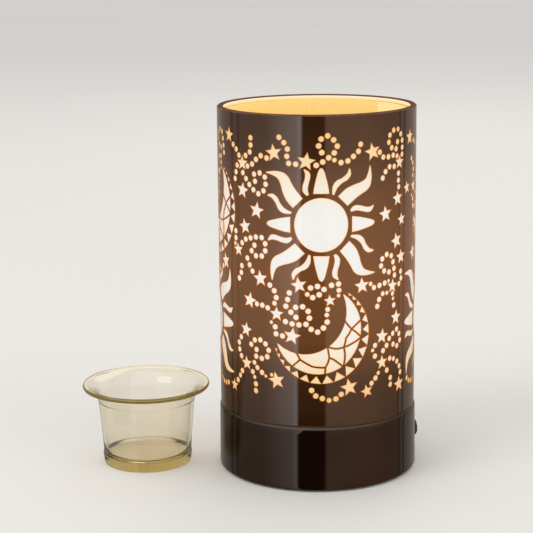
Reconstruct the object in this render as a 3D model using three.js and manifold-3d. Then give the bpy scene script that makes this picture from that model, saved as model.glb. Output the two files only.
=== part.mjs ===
// A wax melt warmer: a touch lamp whose bulb warms a glass dish of scented wax.
// A gunmetal drum holds the touch dimmer. A glass tube stands on the drum, with a mirror skin
// pierced by suns, crescents, stars and dotted scrolls. The dish stands beside the lamp.
// Millimetres, +Z up, the front towards -Y, and the origin under the lamp's axis on the table.

import * as THREE from 'three';
import { mergeVertices } from 'three/addons/utils/BufferGeometryUtils.js';
import Module from 'manifold-3d';

const wasm = await Module();
wasm.setup();

// Driving dimensions of the whole lamp.
const SHADE_RADIUS = 48.5;
const SHADE_HEIGHT = 148.2;
const BASE_HEIGHT = 32;
const BASE_STEP = 0.5;
const BASE_TAPER = 0.4;
const PAD_PROUD = 0.6;
const SIDES = 32;

// Clearances. Pieces that rest on each other keep SEAT, and shafts in holes keep FIT.
const SEAT = 0.3;
const FIT = 0.3;
const OVERRUN = 2;

// Drum.
const DRUM_WALL = 1;
const SHOULDER_RADIUS = 1.6;
const HEM_RADIUS = 1.4;
const LAND_WIDTH = 15.5;

// Bottom cover, pad, and the pillars and screws that hold drum, deck and cover together.
const COVER_THICKNESS = 1.2;
const COVER_RECESS = 1.4;
const COVER_RIM_HEIGHT = 4;
const PAD_INSET = 19.4;
const PILLAR_RADIUS = 3.3;
const PILLAR_INSET = 11.2;
const PILLAR_COUNT = 3;
const SCREW_RADIUS = 1.5;
const SCREW_HEAD_RADIUS = 2.8;
const SCREW_HEAD_HEIGHT = 1;
const SCREW_LENGTH = 7;
const SCREW_SIDES = 7;
const HEX_SIDES = 6;

// Deck.
const DECK_THICKNESS = 1;
const DECK_COLLAR_HEIGHT = 6;
const DECK_COLLAR_WALL = 0.8;
const DECK_HOLE_RADIUS = 9;
const VENT_COUNT = 6;
const VENT_INSET = 5.5;
const VENT_WIDTH = 3;
const VENT_ANGLE = 26;

// Lamp holder on its bracket.
const BRACKET_WIDTH = 15;
const BRACKET_TOP_LENGTH = 27;
const BRACKET_FOOT_LENGTH = 8;
const BRACKET_HEIGHT = 8;
const BRACKET_THICKNESS = 1.2;
const HOLDER_RADIUS = 13.5;
const HOLDER_HEIGHT = 18;
const HOLDER_CHAMFER = 1.2;
const HOLDER_SCREW_OFFSET = 10;
const HOLDER_SCREW_SINK = 6;
const HOLDER_SIDES = 14;
const TWIST_ANGLE = 30;
const LIP_THICKNESS = 3.4;
const PIN_SPACING = 10;
const PIN_RADIUS = 1.5;
const PIN_HEAD_RADIUS = 2.5;
const PIN_HEAD_HEIGHT = 2.4;
const PIN_LENGTH = 7;
const PIN_PLAY = 0.4;

// Bulb.
const BULB_LENGTH = 46;
const BULB_RADIUS = 25.2;
const BULB_GLASS = 1.3;
const BULB_BASE_HEIGHT = 14;
const BULB_BASE_RADIUS = 10;
const BULB_BASE_FOOT_RADIUS = 8.4;
const BULB_SIDES = 16;
const LENS_THICKNESS = 1.5;
const CAPSULE_RADIUS = 4.5;
const CAPSULE_LENGTH = 19;
const CAPSULE_SIDES = 10;

// Dish stand over the bulb.
const DISH_ABOVE_BULB = 10;
const WIRE_RADIUS = 1.5;
const RING_CLEARANCE = 1.2;
const RING_SIDES = 24;
const LEG_COUNT = 3;
const LEG_SPLAY = 2.6;
const NUT_RADIUS = 3.1;
const NUT_HEIGHT = 2.4;
const WIRE_SIDES = 6;

// Glass tube, its mirror skin and the diffuser rolled inside it.
const SKIN_THICKNESS = 0.25;
const SKIN_GAP = 0.1;
const GLASS_WALL = 2.65;
const RIM_ROUND = 0.6;
const LINER_THICKNESS = 0.6;
const LINER_DROP = 2.3;
const LINER_SEAM_FACET = 11;

// Pierced artwork. It is drawn on a flat board, one board width for each column, and wrapped
// round the skin. The numbers in the tables are shares of the board's units.
const COLUMNS = 4;
const TOP_BAND = 7;
const BOTTOM_BAND = 11;
const PATTERN_TURN = 2.5;
const ARTWORK_WIDTH_SHARE = 100;
const ARTWORK_HEIGHT_SHARE = 170;

// Dish. It drops into the ring by its neck and hangs from it by its rim.
const DISH_HEIGHT = 41;
const DISH_OVERHANG = 5.6;
const DISH_PLAY = 1.9;
const DISH_TAPER = 1.9;
const DISH_FOOT_TUCK = 0.7;
const DISH_BAND_HEIGHT = 5;
const DISH_WALL = 2;
const DISH_FLOOR = 5;
const DISH_LIP = 1.5;
const DISH_FLARE_HEIGHT = 7;
const DISH_STAND_OFF = 6;
const DISH_SIDES = 26;

// Cord bush.
const INLET_FACET = 9;
const INLET_HEIGHT = 12;
const BUSH_RADIUS = 4.7;
const BUSH_NECK_RADIUS = 3.5;
const BUSH_BORE_RADIUS = 2.2;
const BUSH_PROUD = 3;
const BUSH_INNER_FLANGE = 1.5;
const BUSH_SIDES = 10;

// Touch dimmer.
const BOARD_LENGTH_SHARE = 1.06;
const BOARD_WIDTH_SHARE = 0.735;
const BOARD_THICKNESS = 1.6;
const BOARD_HOLE_INSET = 4;
const POST_COUNT = 4;
const POST_HEIGHT = 5;
const POST_RADIUS = 2.5;
const POST_PIN_RADIUS = 1.2;
const POST_PIN_PROUD = 1.6;
const LEAD_RADIUS = 1.1;

// Heights worked out from the driving dimensions.
const landTop = PAD_PROUD + BASE_HEIGHT;
const coverBottom = PAD_PROUD + COVER_RECESS;
const coverTop = coverBottom + COVER_THICKNESS;
const deckBottom = landTop + SEAT;
const deckTop = deckBottom + DECK_THICKNESS;
const bracketBottom = deckTop + SEAT;
const bracketTop = bracketBottom + BRACKET_HEIGHT;
const holderBottom = bracketTop + SEAT;
const holderTop = holderBottom + HOLDER_HEIGHT;
const bulbBottom = holderTop + SEAT;
const bulbTop = bulbBottom + BULB_LENGTH;
const shadeBottom = landTop + SEAT;
const shadeTop = shadeBottom + SHADE_HEIGHT;
const boardBottom = coverTop + SEAT + POST_HEIGHT + SEAT;
const boardTop = boardBottom + BOARD_THICKNESS;
const partBottom = boardTop + SEAT;

// Radii of the concentric shells of the shade, from the outside in. The deck's collar clears
// the diffuser where it laps.
const skinInner = SHADE_RADIUS - SKIN_THICKNESS;
const glassOuter = skinInner - SKIN_GAP;
const glassInner = glassOuter - GLASS_WALL;
const linerOuter = glassInner - FIT;
const deckCollarRadius = linerOuter - 2 * LINER_THICKNESS - 3 * FIT;

// Radii and circles in the drum.
const baseTopRadius = SHADE_RADIUS + BASE_STEP;
const baseFootRadius = baseTopRadius + BASE_TAPER;
const pillarCircle = baseTopRadius - PILLAR_INSET;
const boardLength = baseTopRadius * BOARD_LENGTH_SHARE;
const boardWidth = baseTopRadius * BOARD_WIDTH_SHARE;

// Radii and circles of the dish and its stand, from the bulb outwards.
const ringInnerRadius = BULB_RADIUS + RING_CLEARANCE;
const ringRadius = ringInnerRadius + WIRE_RADIUS;
const legFootCircle = ringRadius + LEG_SPLAY;
const ventCircle = legFootCircle - VENT_INSET;
const dishRimRadius = ringInnerRadius + DISH_OVERHANG;
const dishNeckRadius = ringInnerRadius - DISH_PLAY;
const dishBandRadius = dishNeckRadius - DISH_TAPER;

function metal(name, color, roughness) {
  return new THREE.MeshStandardMaterial({ name, color, roughness, metalness: 1 });
}

function nonMetal(name, color, roughness) {
  return new THREE.MeshStandardMaterial({ name, color, roughness, metalness: 0 });
}

const metals = {
  gunmetal: metal('gunmetal', 0x3b2e27, 0.08),
  steel: metal('steel', 0xa9a9a6, 0.35),
  brass: metal('brass', 0xb99650, 0.3),
  aluminium: metal('aluminium', 0xc4c6c8, 0.4),
  copper: metal('copper', 0xb4622f, 0.35),
};
const others = {
  clearGlass: nonMetal('clear glass', 0xd9c9a0, 0.03),
  diffuser: nonMetal('diffuser', 0xfff0c8, 0.8),
  ceramic: nonMetal('ceramic', 0xeeeae0, 0.5),
  rubber: nonMetal('rubber', 0x1b1a19, 0.8),
  board: nonMetal('board', 0x2c5a3a, 0.5),
  nylon: nonMetal('nylon', 0xe5e2da, 0.5),
  blackPlastic: nonMetal('black plastic', 0x202022, 0.4),
  yellowFilm: nonMetal('yellow film', 0xc9a227, 0.4),
  brownSleeve: nonMetal('brown sleeve', 0x5b3420, 0.5),
  blueSleeve: nonMetal('blue sleeve', 0x27479a, 0.5),
};
others.clearGlass.transparent = true;
others.clearGlass.opacity = 0.4;

const lamp = new THREE.Group();
lamp.name = 'wax_melt_warmer';

// Azimuths are in degrees from the front, turning towards the right.
function around(radius, azimuth, height = 0) {
  const angle = THREE.MathUtils.degToRad(azimuth);
  return new THREE.Vector3(radius * Math.sin(angle), -radius * Math.cos(angle), height);
}

// A closed geometry of positions alone: vertices merged, slivers dropped, faces pointing out.
function closed(geometry) {
  const bare = new THREE.BufferGeometry();
  bare.setAttribute('position', geometry.getAttribute('position').clone());
  if (geometry.index) {
    bare.setIndex(geometry.index.clone());
  }
  const merged = mergeVertices(bare);
  const point = merged.getAttribute('position');
  const corners = Array.from(merged.index.array);
  const kept = [];
  let volume = 0;
  const a = new THREE.Vector3();
  const b = new THREE.Vector3();
  const c = new THREE.Vector3();
  for (let i = 0; i < corners.length; i += 3) {
    const [p, q, r] = corners.slice(i, i + 3);
    if (p !== q && q !== r && r !== p) {
      a.fromBufferAttribute(point, p);
      b.fromBufferAttribute(point, q);
      c.fromBufferAttribute(point, r);
      volume += a.dot(b.cross(c));
      kept.push([p, q, r]);
    }
  }
  const facing = volume < 0 ? kept.map(([p, q, r]) => [p, r, q]) : kept;
  merged.setIndex(facing.flat());
  merged.computeVertexNormals();
  return merged;
}

function toSolid(geometry) {
  const tidy = closed(geometry);
  return new wasm.Manifold(new wasm.Mesh({
    numProp: 3,
    vertProperties: Float32Array.from(tidy.getAttribute('position').array),
    triVerts: Uint32Array.from(tidy.index.array),
  }));
}

function toGeometry(solid) {
  const mesh = solid.getMesh();
  const geometry = new THREE.BufferGeometry();
  const positions = Float32Array.from(mesh.vertProperties);
  const corners = Uint32Array.from(mesh.triVerts);
  geometry.setAttribute('position', new THREE.BufferAttribute(positions, 3));
  geometry.setIndex(new THREE.BufferAttribute(corners, 1));
  geometry.computeVertexNormals();
  return geometry;
}

function cut(geometry, cutters) {
  return toGeometry(toSolid(geometry).subtract(wasm.Manifold.union(cutters.map(toSolid))));
}

// A profile of [radius, height] pairs turned about +Z, with a corner of the facets at the front.
function turned(profile, sides) {
  const points = profile.map(([radius, height]) => new THREE.Vector2(radius, height));
  const first = points[0];
  const last = points[points.length - 1];
  if (first.x > 0 || last.x > 0) {
    points.push(first.clone());
  }
  return new THREE.LatheGeometry(points, sides).rotateX(Math.PI / 2);
}

function rod(radius, bottom, top, sides) {
  return turned([[0, bottom], [radius, bottom], [radius, top], [0, top]], sides);
}

// A cutter for a hole that clears a shaft, from below the bottom to above the top of a plate.
function bore(shaftRadius, bottom, top, place, sides = SCREW_SIDES) {
  const cutter = rod(shaftRadius + FIT, bottom - OVERRUN, top + OVERRUN, sides);
  return cutter.translate(place.x, place.y, 0);
}

function plate(points, thickness) {
  const shape = new THREE.Shape(points.map(([x, y]) => new THREE.Vector2(x, y)));
  return new THREE.ExtrudeGeometry(shape, { depth: thickness, bevelEnabled: false });
}

function tube(path, radius, sides, steps) {
  const section = new THREE.Shape();
  for (let i = 0; i < sides; i += 1) {
    const angle = (2 * Math.PI * i) / sides;
    const corner = new THREE.Vector2(radius * Math.cos(angle), radius * Math.sin(angle));
    if (i === 0) {
      section.moveTo(corner.x, corner.y);
    } else {
      section.lineTo(corner.x, corner.y);
    }
  }
  section.closePath();
  return new THREE.ExtrudeGeometry(section, { steps, extrudePath: path, bevelEnabled: false });
}

function add(name, geometry, material, place = new THREE.Vector3()) {
  const mesh = new THREE.Mesh(closed(geometry), material);
  mesh.name = name;
  mesh.position.copy(place);
  lamp.add(mesh);
  return mesh;
}

// A pan-head screw: the head's seat at height 0, its shank going up, or down when flipped.
function screw(length, flipped = false) {
  const geometry = turned([
    [0, -SCREW_HEAD_HEIGHT],
    [SCREW_HEAD_RADIUS, -SCREW_HEAD_HEIGHT],
    [SCREW_HEAD_RADIUS, 0],
    [SCREW_RADIUS, 0],
    [SCREW_RADIUS, length],
    [0, length],
  ], SCREW_SIDES);
  return flipped ? geometry.rotateX(Math.PI) : geometry;
}

// The drum: a deep-drawn steel cup, upside down, with a rounded shoulder and a rolled hem.
function makeDrum() {
  const landInner = baseTopRadius - LAND_WIDTH;
  const cornerShares = [1, 0.866, 0.5, 0];
  const shoulder = cornerShares.map((share, i) => [
    baseTopRadius - SHOULDER_RADIUS + SHOULDER_RADIUS * cornerShares[cornerShares.length - 1 - i],
    landTop - SHOULDER_RADIUS + SHOULDER_RADIUS * share,
  ]);
  const hemSteps = 2;
  const hem = [];
  for (let i = 0; i <= hemSteps; i += 1) {
    const angle = (Math.PI / 2) * (i / hemSteps);
    hem.push([
      baseFootRadius - HEM_RADIUS + HEM_RADIUS * Math.cos(angle),
      PAD_PROUD + HEM_RADIUS - HEM_RADIUS * Math.sin(angle),
    ]);
  }
  const profile = [
    [landInner, landTop],
    ...shoulder,
    ...hem,
    [baseFootRadius - 2 * HEM_RADIUS, PAD_PROUD + HEM_RADIUS],
    [baseFootRadius - DRUM_WALL, PAD_PROUD + 2 * HEM_RADIUS],
    [baseTopRadius - DRUM_WALL, landTop - SHOULDER_RADIUS],
    [baseTopRadius - SHOULDER_RADIUS, landTop - DRUM_WALL],
    [landInner, landTop - DRUM_WALL],
  ];
  const wallInside = baseTopRadius - DRUM_WALL;
  const inlet = bore(BUSH_NECK_RADIUS, wallInside, baseFootRadius, around(0, 0), BUSH_SIDES);
  aimOutwards(inlet);
  const bores = pillarPlaces(0).map((place) => bore(SCREW_RADIUS, landTop - DRUM_WALL, landTop, place));
  return cut(turned(profile, SIDES), [inlet, ...bores]);
}

// Turns a piece made along +Z to point outwards through the middle of the inlet's facet.
function aimOutwards(geometry) {
  const azimuth = ((INLET_FACET + 0.5) * 360) / SIDES;
  geometry.rotateX(Math.PI / 2).rotateZ(THREE.MathUtils.degToRad(azimuth));
  geometry.translate(0, 0, PAD_PROUD + INLET_HEIGHT);
  return geometry;
}

function pillarPlaces(height) {
  const places = [];
  for (let i = 0; i < PILLAR_COUNT; i += 1) {
    places.push(around(pillarCircle, (360 * i) / PILLAR_COUNT, height));
  }
  return places;
}

function makeCordBush() {
  const flat = Math.cos(Math.PI / SIDES);
  const seatOutside = baseFootRadius * flat + SEAT;
  const seatInside = (baseTopRadius - DRUM_WALL) * flat - SEAT;
  const bush = turned([
    [BUSH_BORE_RADIUS, seatInside - BUSH_INNER_FLANGE],
    [BUSH_RADIUS, seatInside - BUSH_INNER_FLANGE],
    [BUSH_RADIUS, seatInside],
    [BUSH_NECK_RADIUS, seatInside],
    [BUSH_NECK_RADIUS, seatOutside],
    [BUSH_RADIUS, seatOutside],
    [BUSH_RADIUS, seatOutside + BUSH_PROUD / 2],
    [(BUSH_RADIUS + BUSH_NECK_RADIUS) / 2, seatOutside + BUSH_PROUD],
    [BUSH_BORE_RADIUS, seatOutside + BUSH_PROUD],
  ], BUSH_SIDES);
  return aimOutwards(bush);
}

// The bottom cover: a steel disc with an upturned rim inside the drum's hem.
function makeCover() {
  const rim = baseFootRadius - 2 * HEM_RADIUS - FIT;
  const disc = turned([
    [0, coverBottom],
    [rim, coverBottom],
    [rim, coverBottom + COVER_RIM_HEIGHT],
    [rim - COVER_THICKNESS, coverBottom + COVER_RIM_HEIGHT],
    [rim - COVER_THICKNESS, coverTop],
    [0, coverTop],
  ], SIDES);
  return cut(disc, pillarPlaces(0).map((place) => bore(SCREW_RADIUS, coverBottom, coverTop, place)));
}

function makePad() {
  return rod(baseFootRadius - PAD_INSET, 0, coverBottom - SEAT, SIDES);
}

function makePillar() {
  const length = landTop - DRUM_WALL - SEAT - (coverTop + SEAT);
  const bar = rod(PILLAR_RADIUS, 0, length, HEX_SIDES);
  return cut(bar, [bore(SCREW_RADIUS, 0, length, around(0, 0))]);
}

// The deck: a pressed disc with a collar that centres the glass, vents, and holes for legs.
function ventCutter(index) {
  const middle = (360 * index) / VENT_COUNT;
  const half = VENT_ANGLE / 2;
  const steps = 2;
  const outline = [];
  for (let i = 0; i <= steps; i += 1) {
    const spot = around(ventCircle + VENT_WIDTH / 2, middle - half + (VENT_ANGLE * i) / steps);
    outline.push([spot.x, spot.y]);
  }
  for (let i = steps; i >= 0; i -= 1) {
    const spot = around(ventCircle - VENT_WIDTH / 2, middle - half + (VENT_ANGLE * i) / steps);
    outline.push([spot.x, spot.y]);
  }
  return plate(outline, DECK_THICKNESS + 2 * OVERRUN).translate(0, 0, deckBottom - OVERRUN);
}

function legAzimuth(index) {
  return (360 * (index + 0.5)) / LEG_COUNT;
}

function makeDeck() {
  const disc = turned([
    [DECK_HOLE_RADIUS, deckBottom],
    [deckCollarRadius, deckBottom],
    [deckCollarRadius, deckTop + DECK_COLLAR_HEIGHT],
    [deckCollarRadius - DECK_COLLAR_WALL, deckTop + DECK_COLLAR_HEIGHT],
    [deckCollarRadius - DECK_COLLAR_WALL, deckTop],
    [DECK_HOLE_RADIUS, deckTop],
  ], SIDES);
  const cutters = [];
  for (let i = 0; i < VENT_COUNT; i += 1) {
    cutters.push(ventCutter(i));
  }
  for (let i = 0; i < LEG_COUNT; i += 1) {
    cutters.push(bore(WIRE_RADIUS, deckBottom, deckTop, around(legFootCircle, legAzimuth(i))));
  }
  [...pillarPlaces(0), ...bracketFootPlaces(0)].forEach((place) => {
    cutters.push(bore(SCREW_RADIUS, deckBottom, deckTop, place));
  });
  return cut(disc, cutters);
}

// The holder's bracket: a steel strap bent to a hat, screwed to the deck by its two feet.
function bracketFootPlaces(height) {
  const reach = BRACKET_TOP_LENGTH / 2 + BRACKET_FOOT_LENGTH / 2;
  return [-reach, reach].map((x) => new THREE.Vector3(x, 0, height));
}

function makeBracket() {
  const inner = BRACKET_TOP_LENGTH / 2 - BRACKET_THICKNESS;
  const outer = BRACKET_TOP_LENGTH / 2;
  const end = outer + BRACKET_FOOT_LENGTH;
  const under = BRACKET_HEIGHT - BRACKET_THICKNESS;
  const side = plate([
    [-end, 0], [-inner, 0], [-inner, under], [inner, under], [inner, 0], [end, 0],
    [end, BRACKET_THICKNESS], [outer, BRACKET_THICKNESS], [outer, BRACKET_HEIGHT],
    [-outer, BRACKET_HEIGHT], [-outer, BRACKET_THICKNESS], [-end, BRACKET_THICKNESS],
  ], BRACKET_WIDTH);
  side.rotateX(Math.PI / 2).translate(0, BRACKET_WIDTH / 2, bracketBottom);
  const through = (radius, place) => bore(radius, bracketBottom, bracketTop, place);
  return cut(side, [
    ...holderScrewPlaces(0).map((place) => through(SCREW_RADIUS, place)),
    ...bracketFootPlaces(0).map((place) => through(SCREW_RADIUS, place)),
    through(LEAD_RADIUS, around(PIN_SPACING / 2, 0)),
    through(LEAD_RADIUS, around(PIN_SPACING / 2, 180)),
  ]);
}

function holderScrewPlaces(height) {
  return [-HOLDER_SCREW_OFFSET, HOLDER_SCREW_OFFSET].map((x) => new THREE.Vector3(x, 0, height));
}

// An arc-shaped slot at a pin's circle, from the locked end to the open end, both ends round.
function arcSlot(halfWidth, from, to, start, end) {
  const circle = PIN_SPACING / 2;
  const endSteps = 3;
  const arcSteps = 2;
  const outline = [];
  const push = (azimuth, radius) => {
    const spot = around(radius, azimuth);
    outline.push([spot.x, spot.y]);
  };
  const cap = (azimuth, first) => {
    const centre = around(circle, azimuth);
    for (let i = 1; i < endSteps; i += 1) {
      const spot = around(halfWidth, azimuth + first - (180 * i) / endSteps);
      outline.push([centre.x + spot.x, centre.y + spot.y]);
    }
  };
  for (let i = 0; i <= arcSteps; i += 1) {
    push(start + ((end - start) * i) / arcSteps, circle - halfWidth);
  }
  cap(end, 180);
  for (let i = arcSteps; i >= 0; i -= 1) {
    push(start + ((end - start) * i) / arcSteps, circle + halfWidth);
  }
  cap(start, 0);
  return plate(outline, to - from).translate(0, 0, from);
}

// The lamp holder: white ceramic with two keyhole slots. The bulb's pins drop in at the open
// ends and are turned under the lip to lock.
function makeHolder() {
  const body = turned([
    [0, holderBottom],
    [HOLDER_RADIUS - HOLDER_CHAMFER, holderBottom],
    [HOLDER_RADIUS, holderBottom + HOLDER_CHAMFER],
    [HOLDER_RADIUS, holderTop - HOLDER_CHAMFER],
    [HOLDER_RADIUS - HOLDER_CHAMFER, holderTop],
    [0, holderTop],
  ], HOLDER_SIDES);
  const cutters = [];
  [0, 180].forEach((azimuth) => {
    const open = azimuth + TWIST_ANGLE;
    const lip = holderTop - LIP_THICKNESS;
    cutters.push(arcSlot(PIN_RADIUS + PIN_PLAY, lip - OVERRUN, holderTop + OVERRUN, azimuth, open));
    cutters.push(arcSlot(PIN_HEAD_RADIUS + PIN_PLAY, holderBottom - OVERRUN, lip, azimuth, open));
    const entry = around(PIN_SPACING / 2, open);
    const way = rod(PIN_HEAD_RADIUS + PIN_PLAY, lip - OVERRUN, holderTop + OVERRUN, SCREW_SIDES);
    cutters.push(way.translate(entry.x, entry.y, 0));
  });
  holderScrewPlaces(holderTop - HOLDER_SCREW_SINK).forEach((place) => {
    const sink = rod(SCREW_HEAD_RADIUS + FIT, place.z, holderTop + OVERRUN, SCREW_SIDES);
    cutters.push(sink.translate(place.x, place.y, 0));
    cutters.push(bore(SCREW_RADIUS, holderBottom, place.z, place));
  });
  return cut(body, cutters);
}

// The bulb: a glass reflector with a front lens, a capsule inside and a ceramic base with pins.
function makeBulb() {
  const base = turned([
    [0, bulbBottom],
    [BULB_BASE_FOOT_RADIUS, bulbBottom],
    [BULB_BASE_RADIUS, bulbBottom + BULB_BASE_HEIGHT],
    [0, bulbBottom + BULB_BASE_HEIGHT],
  ], BULB_SIDES);
  const neck = bulbBottom + BULB_BASE_HEIGHT + SEAT;
  const bowl = bulbTop - neck;
  const spread = BULB_RADIUS - BULB_BASE_RADIUS;
  const bowlShares = [[0, 0], [0.22, 0.1], [0.62, 0.4], [0.88, 0.7], [1, 1]];
  const outside = bowlShares.map(([across, up]) => [
    BULB_BASE_RADIUS + spread * across,
    neck + bowl * up,
  ]);
  const inside = bowlShares.slice(1).map(([across, up]) => [
    BULB_BASE_RADIUS + spread * across - BULB_GLASS,
    neck + BULB_GLASS + (bowl - BULB_GLASS) * up,
  ]).reverse();
  const floor = [CAPSULE_RADIUS + BULB_GLASS, neck + BULB_GLASS];
  const reflector = turned([
    [0, neck], ...outside, ...inside, floor, [0, neck + BULB_GLASS],
  ], BULB_SIDES);
  const lensTop = bulbTop - LENS_THICKNESS / 2;
  const lensRadius = BULB_RADIUS - BULB_GLASS - 2 * FIT;
  const lens = turned([
    [0, lensTop - LENS_THICKNESS],
    [lensRadius, lensTop - LENS_THICKNESS],
    [lensRadius, lensTop - LENS_THICKNESS / 2],
    [0, lensTop],
  ], BULB_SIDES);
  const capsuleFoot = neck + BULB_GLASS + SEAT;
  const capsule = turned([
    [0, capsuleFoot],
    [CAPSULE_RADIUS, capsuleFoot],
    [CAPSULE_RADIUS, capsuleFoot + CAPSULE_LENGTH - CAPSULE_RADIUS],
    [CAPSULE_RADIUS / 2, capsuleFoot + CAPSULE_LENGTH - CAPSULE_RADIUS / 4],
    [0, capsuleFoot + CAPSULE_LENGTH],
  ], CAPSULE_SIDES);
  add('bulb_base', base, others.ceramic);
  add('bulb_reflector', reflector, others.clearGlass);
  add('bulb_lens', lens, others.clearGlass);
  add('bulb_capsule', capsule, others.clearGlass);
  const pin = turned([
    [0, -PIN_LENGTH],
    [PIN_HEAD_RADIUS, -PIN_LENGTH],
    [PIN_HEAD_RADIUS, -PIN_LENGTH + PIN_HEAD_HEIGHT],
    [PIN_RADIUS, -PIN_LENGTH + PIN_HEAD_HEIGHT],
    [PIN_RADIUS, -SEAT],
    [0, -SEAT],
  ], SCREW_SIDES);
  add('bulb_pin_front', pin, metals.steel, around(PIN_SPACING / 2, 0, bulbBottom));
  add('bulb_pin_back', pin, metals.steel, around(PIN_SPACING / 2, 180, bulbBottom));
}

// The dish stand: a wire ring on three wire legs, each held to the deck by a nut.
const lipBottom = DISH_HEIGHT - DISH_LIP - DISH_WALL;
const ringTop = bulbTop + DISH_ABOVE_BULB + lipBottom;

function makeStand() {
  const section = [];
  for (let i = 0; i < WIRE_SIDES; i += 1) {
    const angle = (2 * Math.PI * i) / WIRE_SIDES;
    section.push([ringRadius + WIRE_RADIUS * Math.sin(angle), WIRE_RADIUS * Math.cos(angle)]);
  }
  const ring = turned(section, RING_SIDES);
  add('dish_ring', ring, metals.steel, new THREE.Vector3(0, 0, ringTop - WIRE_RADIUS));
  const legSteps = 8;
  for (let i = 0; i < LEG_COUNT; i += 1) {
    const azimuth = legAzimuth(i);
    const foot = around(legFootCircle, azimuth);
    const head = around(ringRadius, azimuth);
    const top = ringTop - 2 * WIRE_RADIUS - SEAT;
    const path = new THREE.CatmullRomCurve3([
      new THREE.Vector3(foot.x, foot.y, deckBottom),
      new THREE.Vector3(foot.x, foot.y, deckTop + NUT_HEIGHT + 2 * SEAT),
      new THREE.Vector3(foot.x, foot.y, deckTop + BRACKET_HEIGHT),
      new THREE.Vector3(head.x, head.y, bulbBottom),
      new THREE.Vector3(head.x, head.y, top),
    ], false, 'catmullrom', 0);
    add(`stand_leg_${i + 1}`, tube(path, WIRE_RADIUS, WIRE_SIDES, legSteps), metals.steel);
    const nut = cut(rod(NUT_RADIUS, 0, NUT_HEIGHT, HEX_SIDES), [
      bore(WIRE_RADIUS, 0, NUT_HEIGHT, around(0, 0)),
    ]);
    add(`leg_nut_${i + 1}`, nut, metals.steel, foot.setZ(deckTop + SEAT));
  }
}

// The touch dimmer on its board, held above the cover by four posts.
function boardCorner(index) {
  const x = boardLength / 2 - BOARD_HOLE_INSET;
  const y = boardWidth / 2 - BOARD_HOLE_INSET;
  return new THREE.Vector2(index % 2 ? x : -x, index > 1 ? y : -y);
}

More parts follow.
